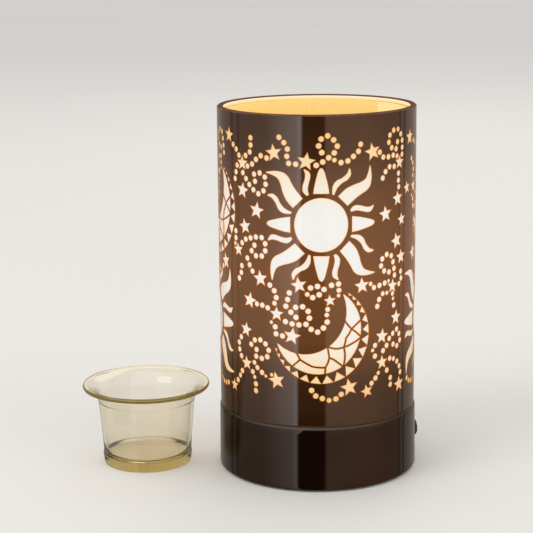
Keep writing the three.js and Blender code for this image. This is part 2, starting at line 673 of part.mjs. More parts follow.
function makeDimmer() {
  const board = new THREE.BoxGeometry(boardLength, boardWidth, BOARD_THICKNESS);
  const holes = [];
  for (let i = 0; i < POST_COUNT; i += 1) {
    const corner = boardCorner(i);
    holes.push(bore(POST_PIN_RADIUS, 0, 0, corner));
    const post = turned([
      [0, coverTop + SEAT],
      [POST_RADIUS, coverTop + SEAT],
      [POST_RADIUS, boardBottom - SEAT],
      [POST_PIN_RADIUS, boardBottom - SEAT],
      [POST_PIN_RADIUS, boardTop + POST_PIN_PROUD],
      [0, boardTop + POST_PIN_PROUD],
    ], WIRE_SIDES);
    add(`board_post_${i + 1}`, post, others.nylon, new THREE.Vector3(corner.x, corner.y, 0));
  }
  const middle = boardBottom + BOARD_THICKNESS / 2;
  add('dimmer_board', cut(board, holes), others.board, new THREE.Vector3(0, 0, middle));

  const blockLength = 15;
  const blockWidth = 8;
  const blockHeight = 10;
  const wayRadius = 1.4;
  const block = new THREE.BoxGeometry(blockWidth, blockLength, blockHeight);
  const ways = [-1, 0, 1].map((step) => (
    rod(wayRadius, 0, blockHeight, WIRE_SIDES).translate(0, (step * blockLength) / 3, 0)
  ));
  const blockX = -boardLength / 2 + blockWidth;
  add('terminal_block', cut(block, ways), others.nylon,
    new THREE.Vector3(blockX, 0, partBottom + blockHeight / 2));

  const filmLength = 13;
  const filmWidth = 5;
  const filmHeight = 11;
  const film = new THREE.BoxGeometry(filmLength, filmWidth, filmHeight);
  const filmY = boardWidth / 2 - filmWidth;
  add('film_capacitor', film, others.yellowFilm,
    new THREE.Vector3(filmLength / 2 + filmWidth / 3, filmY, partBottom + filmHeight / 2));

  const chokeRadius = 5.2;
  const chokeWire = 2;
  const choke = [];
  for (let i = 0; i < WIRE_SIDES; i += 1) {
    const angle = (2 * Math.PI * i) / WIRE_SIDES;
    choke.push([chokeRadius + chokeWire * Math.sin(angle), chokeWire * Math.cos(angle)]);
  }
  add('choke', turned(choke, 2 * WIRE_SIDES), metals.copper,
    new THREE.Vector3(0, 0, partBottom + chokeWire));

  const sinkThickness = 1.5;
  const sinkWidth = 14;
  const sinkHeight = 14;
  const sinkDepth = 7;
  const sink = plate([
    [0, 0], [sinkDepth, 0], [sinkDepth, sinkHeight], [sinkDepth - sinkThickness, sinkHeight],
    [sinkDepth - sinkThickness, sinkThickness], [sinkThickness, sinkThickness],
    [sinkThickness, sinkHeight], [0, sinkHeight],
  ], sinkWidth).rotateX(Math.PI / 2).translate(0, sinkWidth / 2, 0);
  const triacWidth = 10;
  const triacDepth = 4;
  const sinkX = chokeRadius + chokeWire + triacDepth + 3 * SEAT;
  add('heat_sink', sink, metals.aluminium, new THREE.Vector3(sinkX, 0, partBottom));

  const triacHeight = 9;
  const triac = new THREE.BoxGeometry(triacDepth, triacWidth, triacHeight);
  add('triac', triac, others.blackPlastic,
    new THREE.Vector3(sinkX - triacDepth / 2 - SEAT, 0, partBottom + triacHeight / 2));

  const chipLength = 9;
  const chipWidth = 6.5;
  const chipHeight = 3.4;
  const chip = new THREE.BoxGeometry(chipLength, chipWidth, chipHeight);
  add('touch_chip', chip, others.blackPlastic,
    new THREE.Vector3(0, -boardWidth / 2 + chipWidth / 2 + SEAT, partBottom + chipHeight / 2));

  const fuseRadius = 2.2;
  const fuseLength = 12;
  const fuse = rod(fuseRadius, -fuseLength / 2, fuseLength / 2, SCREW_SIDES).rotateY(Math.PI / 2);
  add('fuse', fuse, others.clearGlass,
    new THREE.Vector3(-boardLength / 4 + fuseRadius, filmY, partBottom + fuseRadius));

  // Two sleeved leads rise from the terminal block, through the deck, to the holder's contacts.
  const blockTop = partBottom + blockHeight + SEAT;
  const rise = landTop - DRUM_WALL;
  const leadSteps = 9;
  const leads = [['lead_live', -1, others.brownSleeve], ['lead_neutral', 1, others.blueSleeve]];
  leads.forEach(([name, side, sleeve]) => {
    const y = (side * blockLength) / 3;
    const endY = (side * PIN_SPACING) / 2;
    const path = new THREE.CatmullRomCurve3([
      new THREE.Vector3(blockX, y, blockTop),
      new THREE.Vector3(blockX, y, blockTop + 3 * LEAD_RADIUS),
      new THREE.Vector3(blockX / 2, y, rise - 2 * LEAD_RADIUS),
      new THREE.Vector3(0, endY, deckTop),
      new THREE.Vector3(0, endY, bracketTop),
      new THREE.Vector3(0, endY, holderBottom + 2 * LEAD_RADIUS),
    ], false, 'catmullrom', 0.5);
    add(name, tube(path, LEAD_RADIUS, WIRE_SIDES, leadSteps), sleeve);
  });

  // The touch lead runs from the board to a tab on the drum's wall, which senses the hand.
  const tabWidth = 5;
  const tabThickness = 0.8;
  const tabHeight = 6;
  const wallFlat = (baseTopRadius - DRUM_WALL) * Math.cos(Math.PI / SIDES);
  const tabX = wallFlat - SEAT - tabThickness / 2;
  const tabZ = boardTop + tabHeight;
  const tab = new THREE.BoxGeometry(tabThickness, tabWidth, tabHeight);
  add('touch_tab', tab, metals.brass, new THREE.Vector3(-tabX, 0, tabZ));
  const touchStart = new THREE.Vector3(-boardLength / 2 + 2 * LEAD_RADIUS, 0, partBottom);
  const touchEnd = new THREE.Vector3(-tabX + tabThickness / 2 + SEAT, 0, tabZ);
  const touchPath = new THREE.CatmullRomCurve3([
    touchStart,
    touchStart.clone().add(new THREE.Vector3(0, 0, 4 * LEAD_RADIUS)),
    new THREE.Vector3((touchStart.x + touchEnd.x) / 2, 0, tabZ + 2 * LEAD_RADIUS),
    touchEnd.clone().add(new THREE.Vector3(2 * LEAD_RADIUS, 0, 0)),
    touchEnd,
  ], false, 'catmullrom', 0.5);
  const touchSteps = 7;
  add('touch_lead', tube(touchPath, LEAD_RADIUS, WIRE_SIDES, touchSteps), others.rubber);
}

// The glass tube, with softened edges at the rim.
function makeGlass() {
  return turned([
    [glassInner, shadeBottom],
    [glassOuter, shadeBottom],
    [glassOuter, shadeTop - RIM_ROUND],
    [glassOuter - RIM_ROUND, shadeTop],
    [glassInner + RIM_ROUND, shadeTop],
    [glassInner, shadeTop - RIM_ROUND],
  ], SIDES);
}

// The diffuser: a sheet rolled once round inside the glass, its end lapped inside its start.
function makeLiner() {
  const lap = LINER_THICKNESS + FIT;
  const outside = [];
  const inside = [];
  for (let i = 0; i <= SIDES + 1; i += 1) {
    const azimuth = ((LINER_SEAM_FACET + i) * 360) / SIDES;
    const radius = i < SIDES ? linerOuter : linerOuter - lap;
    const outer = around(radius, azimuth);
    const inner = around(radius - LINER_THICKNESS, azimuth);
    outside.push([outer.x, outer.y]);
    inside.push([inner.x, inner.y]);
  }
  const height = SHADE_HEIGHT - LINER_DROP;
  return plate([...outside, ...inside.reverse()], height).translate(0, 0, shadeBottom);
}

// The artwork's windows, as outlines in board units.
function sunWindows(u, v) {
  const discShare = 16.4;
  const polar = (radius, angle) => [u + radius * Math.cos(angle), v + radius * Math.sin(angle)];
  const windows = [];
  const disc = [];
  const discSides = 14;
  for (let i = 0; i < discSides; i += 1) {
    disc.push(polar(discShare, (2 * Math.PI * (i + 0.5)) / discSides));
  }
  windows.push(disc);
  // A ray is a row of stations: distance from the centre, sway to the side, and half width.
  const ray = (angle, stations) => {
    const along = [Math.cos(angle), Math.sin(angle)];
    const spot = (reach, side) => [
      u + along[0] * reach - along[1] * side,
      v + along[1] * reach + along[0] * side,
    ];
    const right = stations.map(([reach, sway, half]) => spot(reach, sway - half));
    const wide = stations.filter(([, , half]) => half > 0);
    const left = wide.map(([reach, sway, half]) => spot(reach, sway + half));
    windows.push([...right, ...left.reverse()]);
  };
  const straightShares = [[19.4, 0, 4.7], [34.5, 0, 1]];
  const wavyShares = [[20.4, 0, 4], [28, -2.4, 4.6], [37, -1, 2.8], [46, 3.4, 0]];
  const smallShares = [[20, -0.6, 0.8], [27, -0.6, 2.2], [36.5, 1.8, 0]];
  const quarter = Math.PI / 2;
  for (let angle = 0; angle < 4 * quarter; angle += quarter) {
    ray(angle, straightShares);
    ray(angle + quarter / 4, smallShares);
    ray(angle + quarter / 2, wavyShares);
    ray(angle + (3 * quarter) / 4, smallShares);
  }
  return windows;
}

function crescentWindows(u, v) {
  const outerShare = 30;
  const bandShare = 6.4;
  const ribShare = 0.9;
  const hollowShare = 23;
  const hollowOffsetShares = [-9.6, 11.8];
  const paneOuter = outerShare - bandShare;
  const thick = Math.atan2(-hollowOffsetShares[1], -hollowOffsetShares[0]);
  const offset = Math.hypot(...hollowOffsetShares);
  const polar = (radius, angle) => [u + radius * Math.cos(angle), v + radius * Math.sin(angle)];
  // Distance from the crescent's centre to the edge of its hollow, at an angle.
  const hollowEdge = (angle) => {
    const along = -offset * Math.cos(angle - thick);
    return along + Math.sqrt(along * along - offset * offset + hollowShare * hollowShare);
  };
  const windows = [];
  const paneShares = [-107, -52, -6, 40, 105];
  const toAngle = (degrees) => thick + THREE.MathUtils.degToRad(degrees);
  for (let i = 0; i + 1 < paneShares.length; i += 1) {
    const half = THREE.MathUtils.radToDeg(ribShare / paneOuter) / 2;
    const from = paneShares[i] + half;
    const to = paneShares[i + 1] - half;
    const angles = [0, 1 / 3, 2 / 3, 1].map((share) => toAngle(from + (to - from) * share));
    const outside = angles.map((angle) => polar(paneOuter, angle));
    const inside = angles.map((angle) => {
      const edge = Math.min(hollowEdge(angle), paneOuter - ribShare);
      return polar(edge, angle);
    });
    windows.push([...outside, ...inside.reverse()]);
  }
  const teeth = 10;
  const spread = 228;
  const baseShare = 0.84;
  const pitch = spread / teeth;
  for (let i = 0; i < teeth; i += 1) {
    const middle = -spread / 2 + pitch * (i + 0.5);
    const halfBase = (pitch / 2) * baseShare;
    windows.push([
      polar(outerShare, toAngle(middle - halfBase)),
      polar(outerShare, toAngle(middle + halfBase)),
      polar(paneOuter + ribShare, toAngle(middle)),
    ]);
  }
  return windows;
}

function starWindow(u, v, radius, turn) {
  const points = [];
  const innerShare = 0.42;
  for (let i = 0; i < 10; i += 1) {
    const reach = i % 2 ? radius * innerShare : radius;
    const angle = THREE.MathUtils.degToRad(90 + turn + 36 * i);
    points.push([u + reach * Math.cos(angle), v + reach * Math.sin(angle)]);
  }
  return points;
}

// Round holes in a row, along a path whose bend changes evenly from hole to hole.
function scrollWindows(u, v, heading, firstBend, lastBend, count) {
  const dotShare = 1.8;
  const dotPitchShare = 4.9;
  const dotSides = 4;
  const windows = [];
  let x = u;
  let y = v;
  let angle = heading;
  for (let i = 0; i < count; i += 1) {
    const dot = [];
    for (let k = 0; k < dotSides; k += 1) {
      const turn = THREE.MathUtils.degToRad((360 * k) / dotSides);
      dot.push([x + dotShare * Math.cos(turn), y + dotShare * Math.sin(turn)]);
    }
    windows.push(dot);
    angle += firstBend + ((lastBend - firstBend) * i) / Math.max(1, count - 1);
    x += dotPitchShare * Math.cos(THREE.MathUtils.degToRad(angle));
    y += dotPitchShare * Math.sin(THREE.MathUtils.degToRad(angle));
  }
  return windows;
}

// One repeat of the artwork covers two columns. Even columns have the sun above the crescent,
// and odd ones the crescent above the sun.
function repeatWindows() {
  const upperShare = 112.5;
  const lowerShare = 42.5;
  // Each star: place across, place up, radius, turn.
  const starShares = [
    [-29.5, 156, 5.2, 8], [-9, 151.5, 5.2, -10], [33.5, 156, 5.4, 12],
    [-42, 120, 5, -6], [43.5, 116.5, 5, 4], [54, 98.5, 4.8, 10],
    [-40, 77.5, 5, -8], [-14, 77.5, 5, 14], [25, 75.5, 5.2, 6],
    [-28.5, 14, 5.2, 16], [17.5, 10, 5.2, -12], [41.5, 40, 4.6, 0],
  ];
  // Each scroll: place of the first hole, heading, first bend, last bend, number of holes.
  const scrollShares = [
    [-2, 149, 30, 4, 62, 7],
    [-52, 147, 250, 26, 44, 5],
    [-52, 100, 20, -8, -60, 5],
    [-4, 70, 10, -50, -34, 5],
    [50, 62, 60, 10, 58, 6],
    [-2, 5, -50, 22, 22, 5],
  ];
  return [
    ...sunWindows(0, upperShare),
    ...crescentWindows(0, lowerShare),
    ...crescentWindows(ARTWORK_WIDTH_SHARE, upperShare),
    ...sunWindows(ARTWORK_WIDTH_SHARE, lowerShare),
    ...starShares.map((star) => starWindow(...star)),
    ...scrollShares.flatMap((scroll) => scrollWindows(...scroll)),
  ];
}

// The mirror skin: a thin shell with every window cut through it. A window is cut straight in,
// along the direction of its own middle, so its walls stay flat.
function makeSkin() {
  const unitAcross = (2 * Math.PI) / COLUMNS / ARTWORK_WIDTH_SHARE;
  const unitUp = (SHADE_HEIGHT - TOP_BAND - BOTTOM_BAND) / ARTWORK_HEIGHT_SHARE;
  const windowCutter = (outline, column) => {
    const across = outline.map(([u]) => u);
    const left = Math.min(...across);
    const right = Math.max(...across);
    const middle = (left + right) / 2;
    const halfAngle = ((right - left) / 2) * unitAcross + Math.PI / SIDES;
    const flat = outline.map(([u, v]) => [
      SHADE_RADIUS * Math.sin((u - middle) * unitAcross),
      v * unitUp,
    ]);
    const start = skinInner * Math.cos(halfAngle) - OVERRUN;
    const cutter = plate(flat, SHADE_RADIUS + OVERRUN - start).translate(0, 0, start);
    const azimuth = (2 * Math.PI * column) / COLUMNS + middle * unitAcross;
    cutter.rotateX(Math.PI / 2).rotateZ(azimuth + THREE.MathUtils.degToRad(PATTERN_TURN));
    return cutter.translate(0, 0, shadeBottom + BOTTOM_BAND);
  };
  const cutters = [];
  const windows = repeatWindows();
  for (let column = 0; column < COLUMNS; column += 2) {
    windows.forEach((outline) => cutters.push(windowCutter(outline, column)));
  }
  const shell = turned([
    [skinInner, shadeBottom],
    [SHADE_RADIUS, shadeBottom],
    [SHADE_RADIUS, shadeTop - RIM_ROUND],
    [skinInner, shadeTop - RIM_ROUND],
  ], SIDES);
  return cut(shell, cutters);
}

// The wax dish: pressed clear glass with a thick foot, a tapered wall and a flared, rolled lip.
function makeDish() {
  const flare = dishRimRadius - dishNeckRadius;
  const step = DISH_WALL / 4;
  const neckHeight = DISH_HEIGHT - DISH_FLARE_HEIGHT;
  const underLip = DISH_HEIGHT - DISH_LIP;
  // The flare's curve, as shares of its spread and height, outside going up and inside going down.
  const outsideShares = [[-0.05, 0], [0.22, 0.49], [0.62, 0.7]];
  const insideShares = [[0.42, 0.89], [-0.11, 0.52], [-0.27, 0]];
  const curve = (shares) => shares.map(([across, up]) => [
    dishNeckRadius + flare * across,
    neckHeight + DISH_FLARE_HEIGHT * up,
  ]);
  return turned([
    [0, 0],
    [dishBandRadius - DISH_FOOT_TUCK - step, 0],
    [dishBandRadius - DISH_FOOT_TUCK, step],
    [dishBandRadius, DISH_BAND_HEIGHT],
    [dishBandRadius - step, DISH_BAND_HEIGHT + step],
    ...curve(outsideShares),
    [dishRimRadius - step, underLip],
    [dishRimRadius, DISH_HEIGHT - DISH_LIP / 2],
    [dishRimRadius - DISH_LIP / 2, DISH_HEIGHT],
    ...curve(insideShares),
    [dishBandRadius - DISH_WALL, DISH_FLOOR + DISH_WALL],
    [0, DISH_FLOOR],
  ], DISH_SIDES);
}

add('base_drum', makeDrum(), metals.gunmetal);
add('cord_bush', makeCordBush(), others.rubber);
add('bottom_cover', makeCover(), metals.steel);
add('foot_pad', makePad(), others.rubber);
pillarPlaces(coverTop + SEAT).forEach((place, i) => {
  add(`cover_pillar_${i + 1}`, makePillar(), metals.brass, place);
});
pillarPlaces(coverBottom - SEAT).forEach((place, i) => {
  add(`cover_screw_${i + 1}`, screw(SCREW_LENGTH), metals.steel, place);
});
add('deck_plate', makeDeck(), metals.steel);
pillarPlaces(deckTop + SEAT).forEach((place, i) => {
  add(`deck_screw_${i + 1}`, screw(SCREW_LENGTH, true), metals.steel, place);
});
add('holder_bracket', makeBracket(), metals.steel);
bracketFootPlaces(bracketBottom + BRACKET_THICKNESS + SEAT).forEach((place, i) => {
  const length = 2 * (BRACKET_THICKNESS + SEAT + DECK_THICKNESS);
  add(`bracket_screw_${i + 1}`, screw(length, true), metals.steel, place);
});
add('lamp_holder', makeHolder(), others.ceramic);
holderScrewPlaces(holderTop - HOLDER_SCREW_SINK + SEAT).forEach((place, i) => {
  const length = HOLDER_HEIGHT - HOLDER_SCREW_SINK + 2 * SEAT + BRACKET_THICKNESS;
  add(`holder_screw_${i + 1}`, screw(length, true), metals.steel, place);
});
makeBulb();
makeStand();
makeDimmer();
add('glass_shade', makeGlass(), others.clearGlass);
add('mirror_skin', makeSkin(), metals.gunmetal);
add('diffuser_liner', makeLiner(), others.diffuser);
const dishPlace = new THREE.Vector3(-SHADE_RADIUS - DISH_STAND_OFF - dishRimRadius, 0, 0);
add('glass_dish', makeDish(), others.clearGlass, dishPlace);

export default lamp;
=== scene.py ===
"""A lit touch lamp that warms scented wax, with its glass dish standing beside it.

Forms are drawn in millimetres and made metres as each piece is finished."""

import math

import bmesh
import bpy
from mathutils import Matrix, Vector


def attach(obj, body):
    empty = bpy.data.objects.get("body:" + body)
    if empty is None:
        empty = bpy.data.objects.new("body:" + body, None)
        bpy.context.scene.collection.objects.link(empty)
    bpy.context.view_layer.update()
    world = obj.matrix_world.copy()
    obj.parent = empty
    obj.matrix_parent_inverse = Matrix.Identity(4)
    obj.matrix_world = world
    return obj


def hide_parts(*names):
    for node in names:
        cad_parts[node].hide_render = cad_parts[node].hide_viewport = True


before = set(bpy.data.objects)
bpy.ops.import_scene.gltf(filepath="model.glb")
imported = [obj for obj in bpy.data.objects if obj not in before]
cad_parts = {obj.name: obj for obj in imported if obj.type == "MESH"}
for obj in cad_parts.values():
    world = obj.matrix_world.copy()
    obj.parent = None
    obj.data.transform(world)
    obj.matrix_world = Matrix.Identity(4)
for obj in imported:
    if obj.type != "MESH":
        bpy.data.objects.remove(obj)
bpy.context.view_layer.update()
scene = bpy.context.scene

MM = 0.001
CLOSE = 0.001
ROUND_STEPS = 144
BEND_STEPS = 5
SHARP_ANGLE = math.radians(38)

# The drum is drawn from one disc of steel and plated in dark gunmetal. Its shoulder is
# rolled, its foot is hemmed under, and its flat land carries the shade and the deck.
PAD_PROUD = 0.6
LAND_TOP = 32.6
DRUM_TOP_RADIUS = 49.0
DRUM_FOOT_RADIUS = 49.4
DRUM_WALL = 1.0
SHOULDER_ROUND = 2.1
HEM_ROUND = 1.2
ROLL_RUNOUT = 2.0
LAND_INNER_RADIUS = 33.5
CUT_ROUND = 0.2
INNER_SHOULDER_ROUND = 0.6
INNER_HEM_ROUND = 0.3

# Where nearly all of a noise lies, and how many of a worked finish's grains a blotch spans.
NOISE_LOW = 0.3
NOISE_HIGH = 0.7
BLOTCH_GRAINS = 9


def on_circle(vert, radius, height):
    return (abs(math.hypot(vert.co.x, vert.co.y) - radius) < CLOSE
            and abs(vert.co.z - height) < CLOSE)


def spin_up(mesh, steps):
    """Spins what is drawn about the upright axis, and closes its seam and its poles."""
    bmesh.ops.spin(
        mesh, geom=mesh.verts[:] + mesh.edges[:], cent=(0, 0, 0), axis=(0, 0, 1),
        angle=math.tau, steps=steps, use_merge=True)
    bmesh.ops.remove_doubles(mesh, verts=mesh.verts, dist=CLOSE)


def turned(corners, steps=ROUND_STEPS):
    """Spins (radius, height, rounding) corners about the upright axis, then rolls the corners."""
    mesh = bmesh.new()
    spots = [mesh.verts.new((radius, 0, height)) for radius, height, _ in corners]
    ends = [] if corners[0][0] == 0 else [(spots[-1], spots[0])]
    for pair in [*zip(spots, spots[1:]), *ends]:
        mesh.edges.new(pair)
    spin_up(mesh, steps)
    for radius, height, rounding in corners:
        if rounding:
            ring = [edge for edge in mesh.edges
                    if all(on_circle(vert, radius, height) for vert in edge.verts)]
            bmesh.ops.bevel(
                mesh, geom=ring, offset=rounding, offset_type="OFFSET", affect="EDGES",
                segments=BEND_STEPS, profile=0.5, material=-1)
    bmesh.ops.recalc_face_normals(mesh, faces=mesh.faces)
    return mesh


def placed(name, data):
    """A new object that stands in the scene."""
    thing = bpy.data.objects.new(name, data)
    scene.collection.objects.link(thing)
    return thing


def piece(name, mesh, material, body, slot, *nodes):
    """Puts a mesh drawn in millimetres into the scene, on its body and in place of its nodes."""
    bmesh.ops.scale(mesh, vec=(MM, MM, MM), verts=mesh.verts)
    for face in mesh.faces:
        face.smooth = True
    data = bpy.data.meshes.new(name)
    mesh.to_mesh(data)
    mesh.free()
    data.materials.append(material)
    data.set_sharp_from_angle(angle=SHARP_ANGLE)
    thing = placed(name, data)
    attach(thing, body)
    if nodes:
        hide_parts(*nodes)
    return thing


def dress(material, *names):
    """Gives CAD nodes their finish."""
    for name in names:
        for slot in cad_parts[name].material_slots:
            slot.material = material


def finish(name, steady):
    """A new material, its node tree and its shader, with what is the same all over it."""
    material = bpy.data.materials.new(name)
    material.use_nodes = True
    tree = material.node_tree
    shader = tree.nodes["Principled BSDF"]
    for socket, value in steady.items():
        shader.inputs[socket].default_value = value
    return material, tree, shader


def node(tree, kind, inputs, **settings):
    """A new shader node with its settings, and with a socket or a value at each of its inputs."""
    made = tree.nodes.new("ShaderNode" + kind)
    for name, value in settings.items():
        setattr(made, name, value)
    for key, value in inputs.items():
        if isinstance(value, bpy.types.NodeSocket):
            tree.links.new(value, made.inputs[key])
        else:
            made.inputs[key].default_value = value
    return made


def own_place(tree):
    """Where a spot is in the object's own space."""
    return node(tree, "TexCoord", {}).outputs["Object"]


def cloud(tree, grain, detail=2, stretch=(1, 1, 1)):
    """Noise in the object's own space, its grain in millimetres."""
    stretched = node(tree, "Mapping", {"Vector": own_place(tree), "Scale": stretch})
    noise = node(tree, "TexNoise", {
        "Vector": stretched.outputs["Vector"], "Scale": 1 / (grain * MM), "Detail": detail})
    return noise.outputs["Fac"]


def tone(tree, amount, *stops):
    """A colour along an amount, from (place, red, green, blue) stops."""
    ramp = node(tree, "ValToRGB", {"Fac": amount})
    elements = ramp.color_ramp.elements
    while len(elements) < len(stops):
        elements.new(1)
    for element, (place, *colour) in zip(elements, stops):
        element.position = place
        element.color = (*colour, 1)
    return ramp.outputs["Color"]


def between(tree, amount, low, high, start=NOISE_LOW, end=NOISE_HIGH):
    """Maps a range of an amount, such as a noise's middle, onto a range of values."""
    reach = node(tree, "MapRange", {
        "Value": amount, "From Min": start, "From Max": end, "To Min": low, "To Max": high})
    return reach.outputs["Result"]


def painted(tree, shader, socket, amount, dark, light, start=NOISE_LOW, end=NOISE_HIGH):
    """Colours the shader from dark to light along an amount."""
    tree.links.new(tone(tree, amount, (start, *dark), (end, *light)), shader.inputs[socket])


def roughened(tree, shader, amount, low, high):
    tree.links.new(between(tree, amount, low, high), shader.inputs["Roughness"])


def relief(tree, shader, amount, depth):
    """Raises the surface by an amount, up to a depth in millimetres."""
    bump = node(tree, "Bump", {"Height": amount, "Distance": depth * MM})
    tree.links.new(bump.outputs["Normal"], shader.inputs["Normal"])


def worked(name, dark, light, gloss, grain, depth, metallic=0.0, stretch=(1, 1, 1)):
    """A worked finish: blotches carry its tone and roughness, and a fine speckle its relief."""
    material, tree, shader = finish(name, {"Metallic": metallic})
    speckle = cloud(tree, grain, detail=4, stretch=stretch)
    blotch = cloud(tree, grain * BLOTCH_GRAINS, detail=3)
    painted(tree, shader, "Base Color", blotch, dark, light, start=0.35, end=0.65)
    roughened(tree, shader, blotch, *gloss)
    relief(tree, shader, speckle, depth)
    return material


def gunmetal():
    """Bright plating with the faintest smudges and the marks of spinning."""
    material, tree, shader = finish("gunmetal plating", {"Metallic": 1.0})
    smudge = cloud(tree, grain=26, detail=5)
    spun = cloud(tree, grain=1.4, stretch=(0.04, 0.04, 1))
    painted(tree, shader, "Base Color", smudge, (0.060, 0.047, 0.040), (0.070, 0.056, 0.049))
    roughened(tree, shader, smudge, 0.045, 0.11)
    relief(tree, shader, spun, depth=0.0015)
    return material


def drum_wall(height):
    """A corner on the drum's wall, which tapers out a little towards its foot."""
    share = (height - PAD_PROUD) / (LAND_TOP - PAD_PROUD)
    return DRUM_FOOT_RADIUS + (DRUM_TOP_RADIUS - DRUM_FOOT_RADIUS) * share, height, 0


drum_plating = gunmetal()
piece("drum", turned([
    (LAND_INNER_RADIUS, LAND_TOP, CUT_ROUND),
    (DRUM_TOP_RADIUS, LAND_TOP, SHOULDER_ROUND),
    drum_wall(LAND_TOP - SHOULDER_ROUND - ROLL_RUNOUT),
    drum_wall(PAD_PROUD + HEM_ROUND + ROLL_RUNOUT),
    (DRUM_FOOT_RADIUS, PAD_PROUD, HEM_ROUND),
    (DRUM_FOOT_RADIUS - 2 * HEM_ROUND, PAD_PROUD, HEM_ROUND / 2),
    (DRUM_FOOT_RADIUS - 2 * HEM_ROUND, PAD_PROUD + HEM_ROUND, 0),
    (DRUM_FOOT_RADIUS - DRUM_WALL, PAD_PROUD + 2 * HEM_ROUND, INNER_HEM_ROUND),
    (DRUM_TOP_RADIUS - DRUM_WALL, LAND_TOP - DRUM_WALL, INNER_SHOULDER_ROUND),
    (LAND_INNER_RADIUS, LAND_TOP - DRUM_WALL, CUT_ROUND),
]), drum_plating, "base", "gunmetal_plating", "base_drum")


# The drum stands on a moulded rubber pad, stuck to a zinc-plated steel cover that three
# screws pull up against pillars inside.
PAD_RADIUS = 30.0
PAD_TOP = 1.7
PAD_ROUND = 0.4


def numbered(name, count):
    return [f"{name}_{number}" for number in range(1, count + 1)]


zinc = worked(
    "zinc plate", (0.42, 0.42, 0.41), (0.56, 0.56, 0.54), (0.28, 0.42), 0.5, 0.004, metallic=1.0)
rubber = worked(
    "pad rubber", (0.018, 0.017, 0.016), (0.030, 0.029, 0.028), (0.62, 0.78), 0.35, 0.02)

piece("rubber_pad", turned([
    (0, 0, 0), (PAD_RADIUS, 0, PAD_ROUND), (PAD_RADIUS, PAD_TOP, PAD_ROUND / 2), (0, PAD_TOP, 0),
]), rubber, "base", "black_rubber", "foot_pad")
dress(zinc, "bottom_cover", *numbered("cover_pillar", 3), *numbered("cover_screw", 3))


# A soft black grommet is pushed into a hole in the drum's right side, for the mains cord
# to pass through.
grommet_rubber = worked(
    "grommet rubber", (0.016, 0.016, 0.016), (0.026, 0.026, 0.026), (0.5, 0.66), 0.3, 0.015)
dress(grommet_rubber, "cord_bush")


# The touch dimmer is a small board inside the drum, held over the cover by nylon posts.
# A yellow film capacitor, a choke and a triac on its heat sink do the dimming.
nylon = worked("post nylon", (0.62, 0.60, 0.55), (0.72, 0.70, 0.65), (0.34, 0.46), 0.5, 0.01)
board_green = worked(
    "board", (0.014, 0.085, 0.035), (0.020, 0.115, 0.048), (0.22, 0.36), 0.9, 0.006)
dark_plastic = worked(
    "dark plastic", (0.012, 0.012, 0.013), (0.022, 0.022, 0.023), (0.36, 0.5), 0.25, 0.008)
film_yellow = worked(
    "film capacitor", (0.62, 0.40, 0.05), (0.74, 0.50, 0.09), (0.26, 0.36), 0.7, 0.008)
copper = worked(
    "choke winding", (0.36, 0.10, 0.035), (0.60, 0.22, 0.08), (0.24, 0.4), 0.22, 0.06,
    metallic=0.85, stretch=(1, 1, 6))
aluminium = worked(
    "sink aluminium", (0.60, 0.60, 0.61), (0.72, 0.72, 0.73), (0.26, 0.4), 0.4, 0.006,
    metallic=1.0, stretch=(1, 8, 1))
brass = worked(
    "brass", (0.56, 0.38, 0.13), (0.70, 0.49, 0.18), (0.22, 0.36), 0.4, 0.004, metallic=1.0)
brown_sleeve = worked(
    "brown sleeve", (0.055, 0.022, 0.010), (0.085, 0.034, 0.016), (0.42, 0.55), 0.4, 0.01)
blue_sleeve = worked(
    "blue sleeve", (0.012, 0.045, 0.18), (0.020, 0.065, 0.25), (0.42, 0.55), 0.4, 0.01)

dress(nylon, *numbered("board_post", 4))
dress(board_green, "dimmer_board")
dress(dark_plastic, "terminal_block", "triac", "touch_chip")
dress(film_yellow, "film_capacitor")
dress(copper, "choke")
dress(aluminium, "heat_sink")
dress(brass, "touch_tab")
dress(zinc, "fuse")
dress(brown_sleeve, "lead_live", "touch_lead")
dress(blue_sleeve, "lead_neutral")


# A zinc-plated deck closes the drum inside the shade. It carries the bracket, and on the
# bracket the ceramic holder, whose keyholes the bulb's pins drop into and twist under.
ceramic = worked("glazed ceramic", (0.70, 0.66, 0.58), (0.80, 0.77, 0.70), (0.10, 0.22), 0.8, 0.006)
dress(zinc, "deck_plate", *numbered("deck_screw", 3))
dress(zinc, "holder_bracket", *numbered("bracket_screw", 2), *numbered("holder_screw", 2))
dress(ceramic, "lamp_holder")


# The bulb is a halogen reflector lamp: a pressed glass bowl, metallised inside over small
# facets, on a ceramic cap, with a capsule inside, a front lens, and two plated pins.
BULB_BOTTOM = 60.8
BULB_TOP = 106.8
BULB_BASE_HEIGHT = 14.0
BULB_BASE_RADIUS = 10.0
BULB_FOOT_RADIUS = 8.4
BULB_RADIUS = 25.2
BULB_GLASS = 1.3
BULB_STEPS = 72
SEAT_GAP = 0.3
CAP_FOOT_ROUND = 0.8
CAP_TOP_ROUND = 0.6
BULB_NECK = BULB_BOTTOM + BULB_BASE_HEIGHT + SEAT_GAP
# The bowl's outline, as shares of its spread and of its height, and where its inside starts.
BOWL_STATIONS = ((0, 0), (0.22, 0.1), (0.62, 0.4), (0.88, 0.7), (1, 1))
BOWL_STEPS = 5
BOWL_THROAT = 3
LENS_RADIUS = 23.3
LENS_THICKNESS = 1.5
LENS_ROUND = 0.3
CAPSULE_RADIUS = 4.5
CAPSULE_LENGTH = 19.0
CAPSULE_FOOT_ROUND = 0.4
CAPSULE_SHOULDER_ROUND = 2.0
CAPSULE_TIP_ROUND = 0.8
CAPSULE_STEPS = 48
FACET_SIZE = 3.2
# How squarely a face looks outwards runs from 1, straight out, to -1, straight in.
INWARDS = -0.1


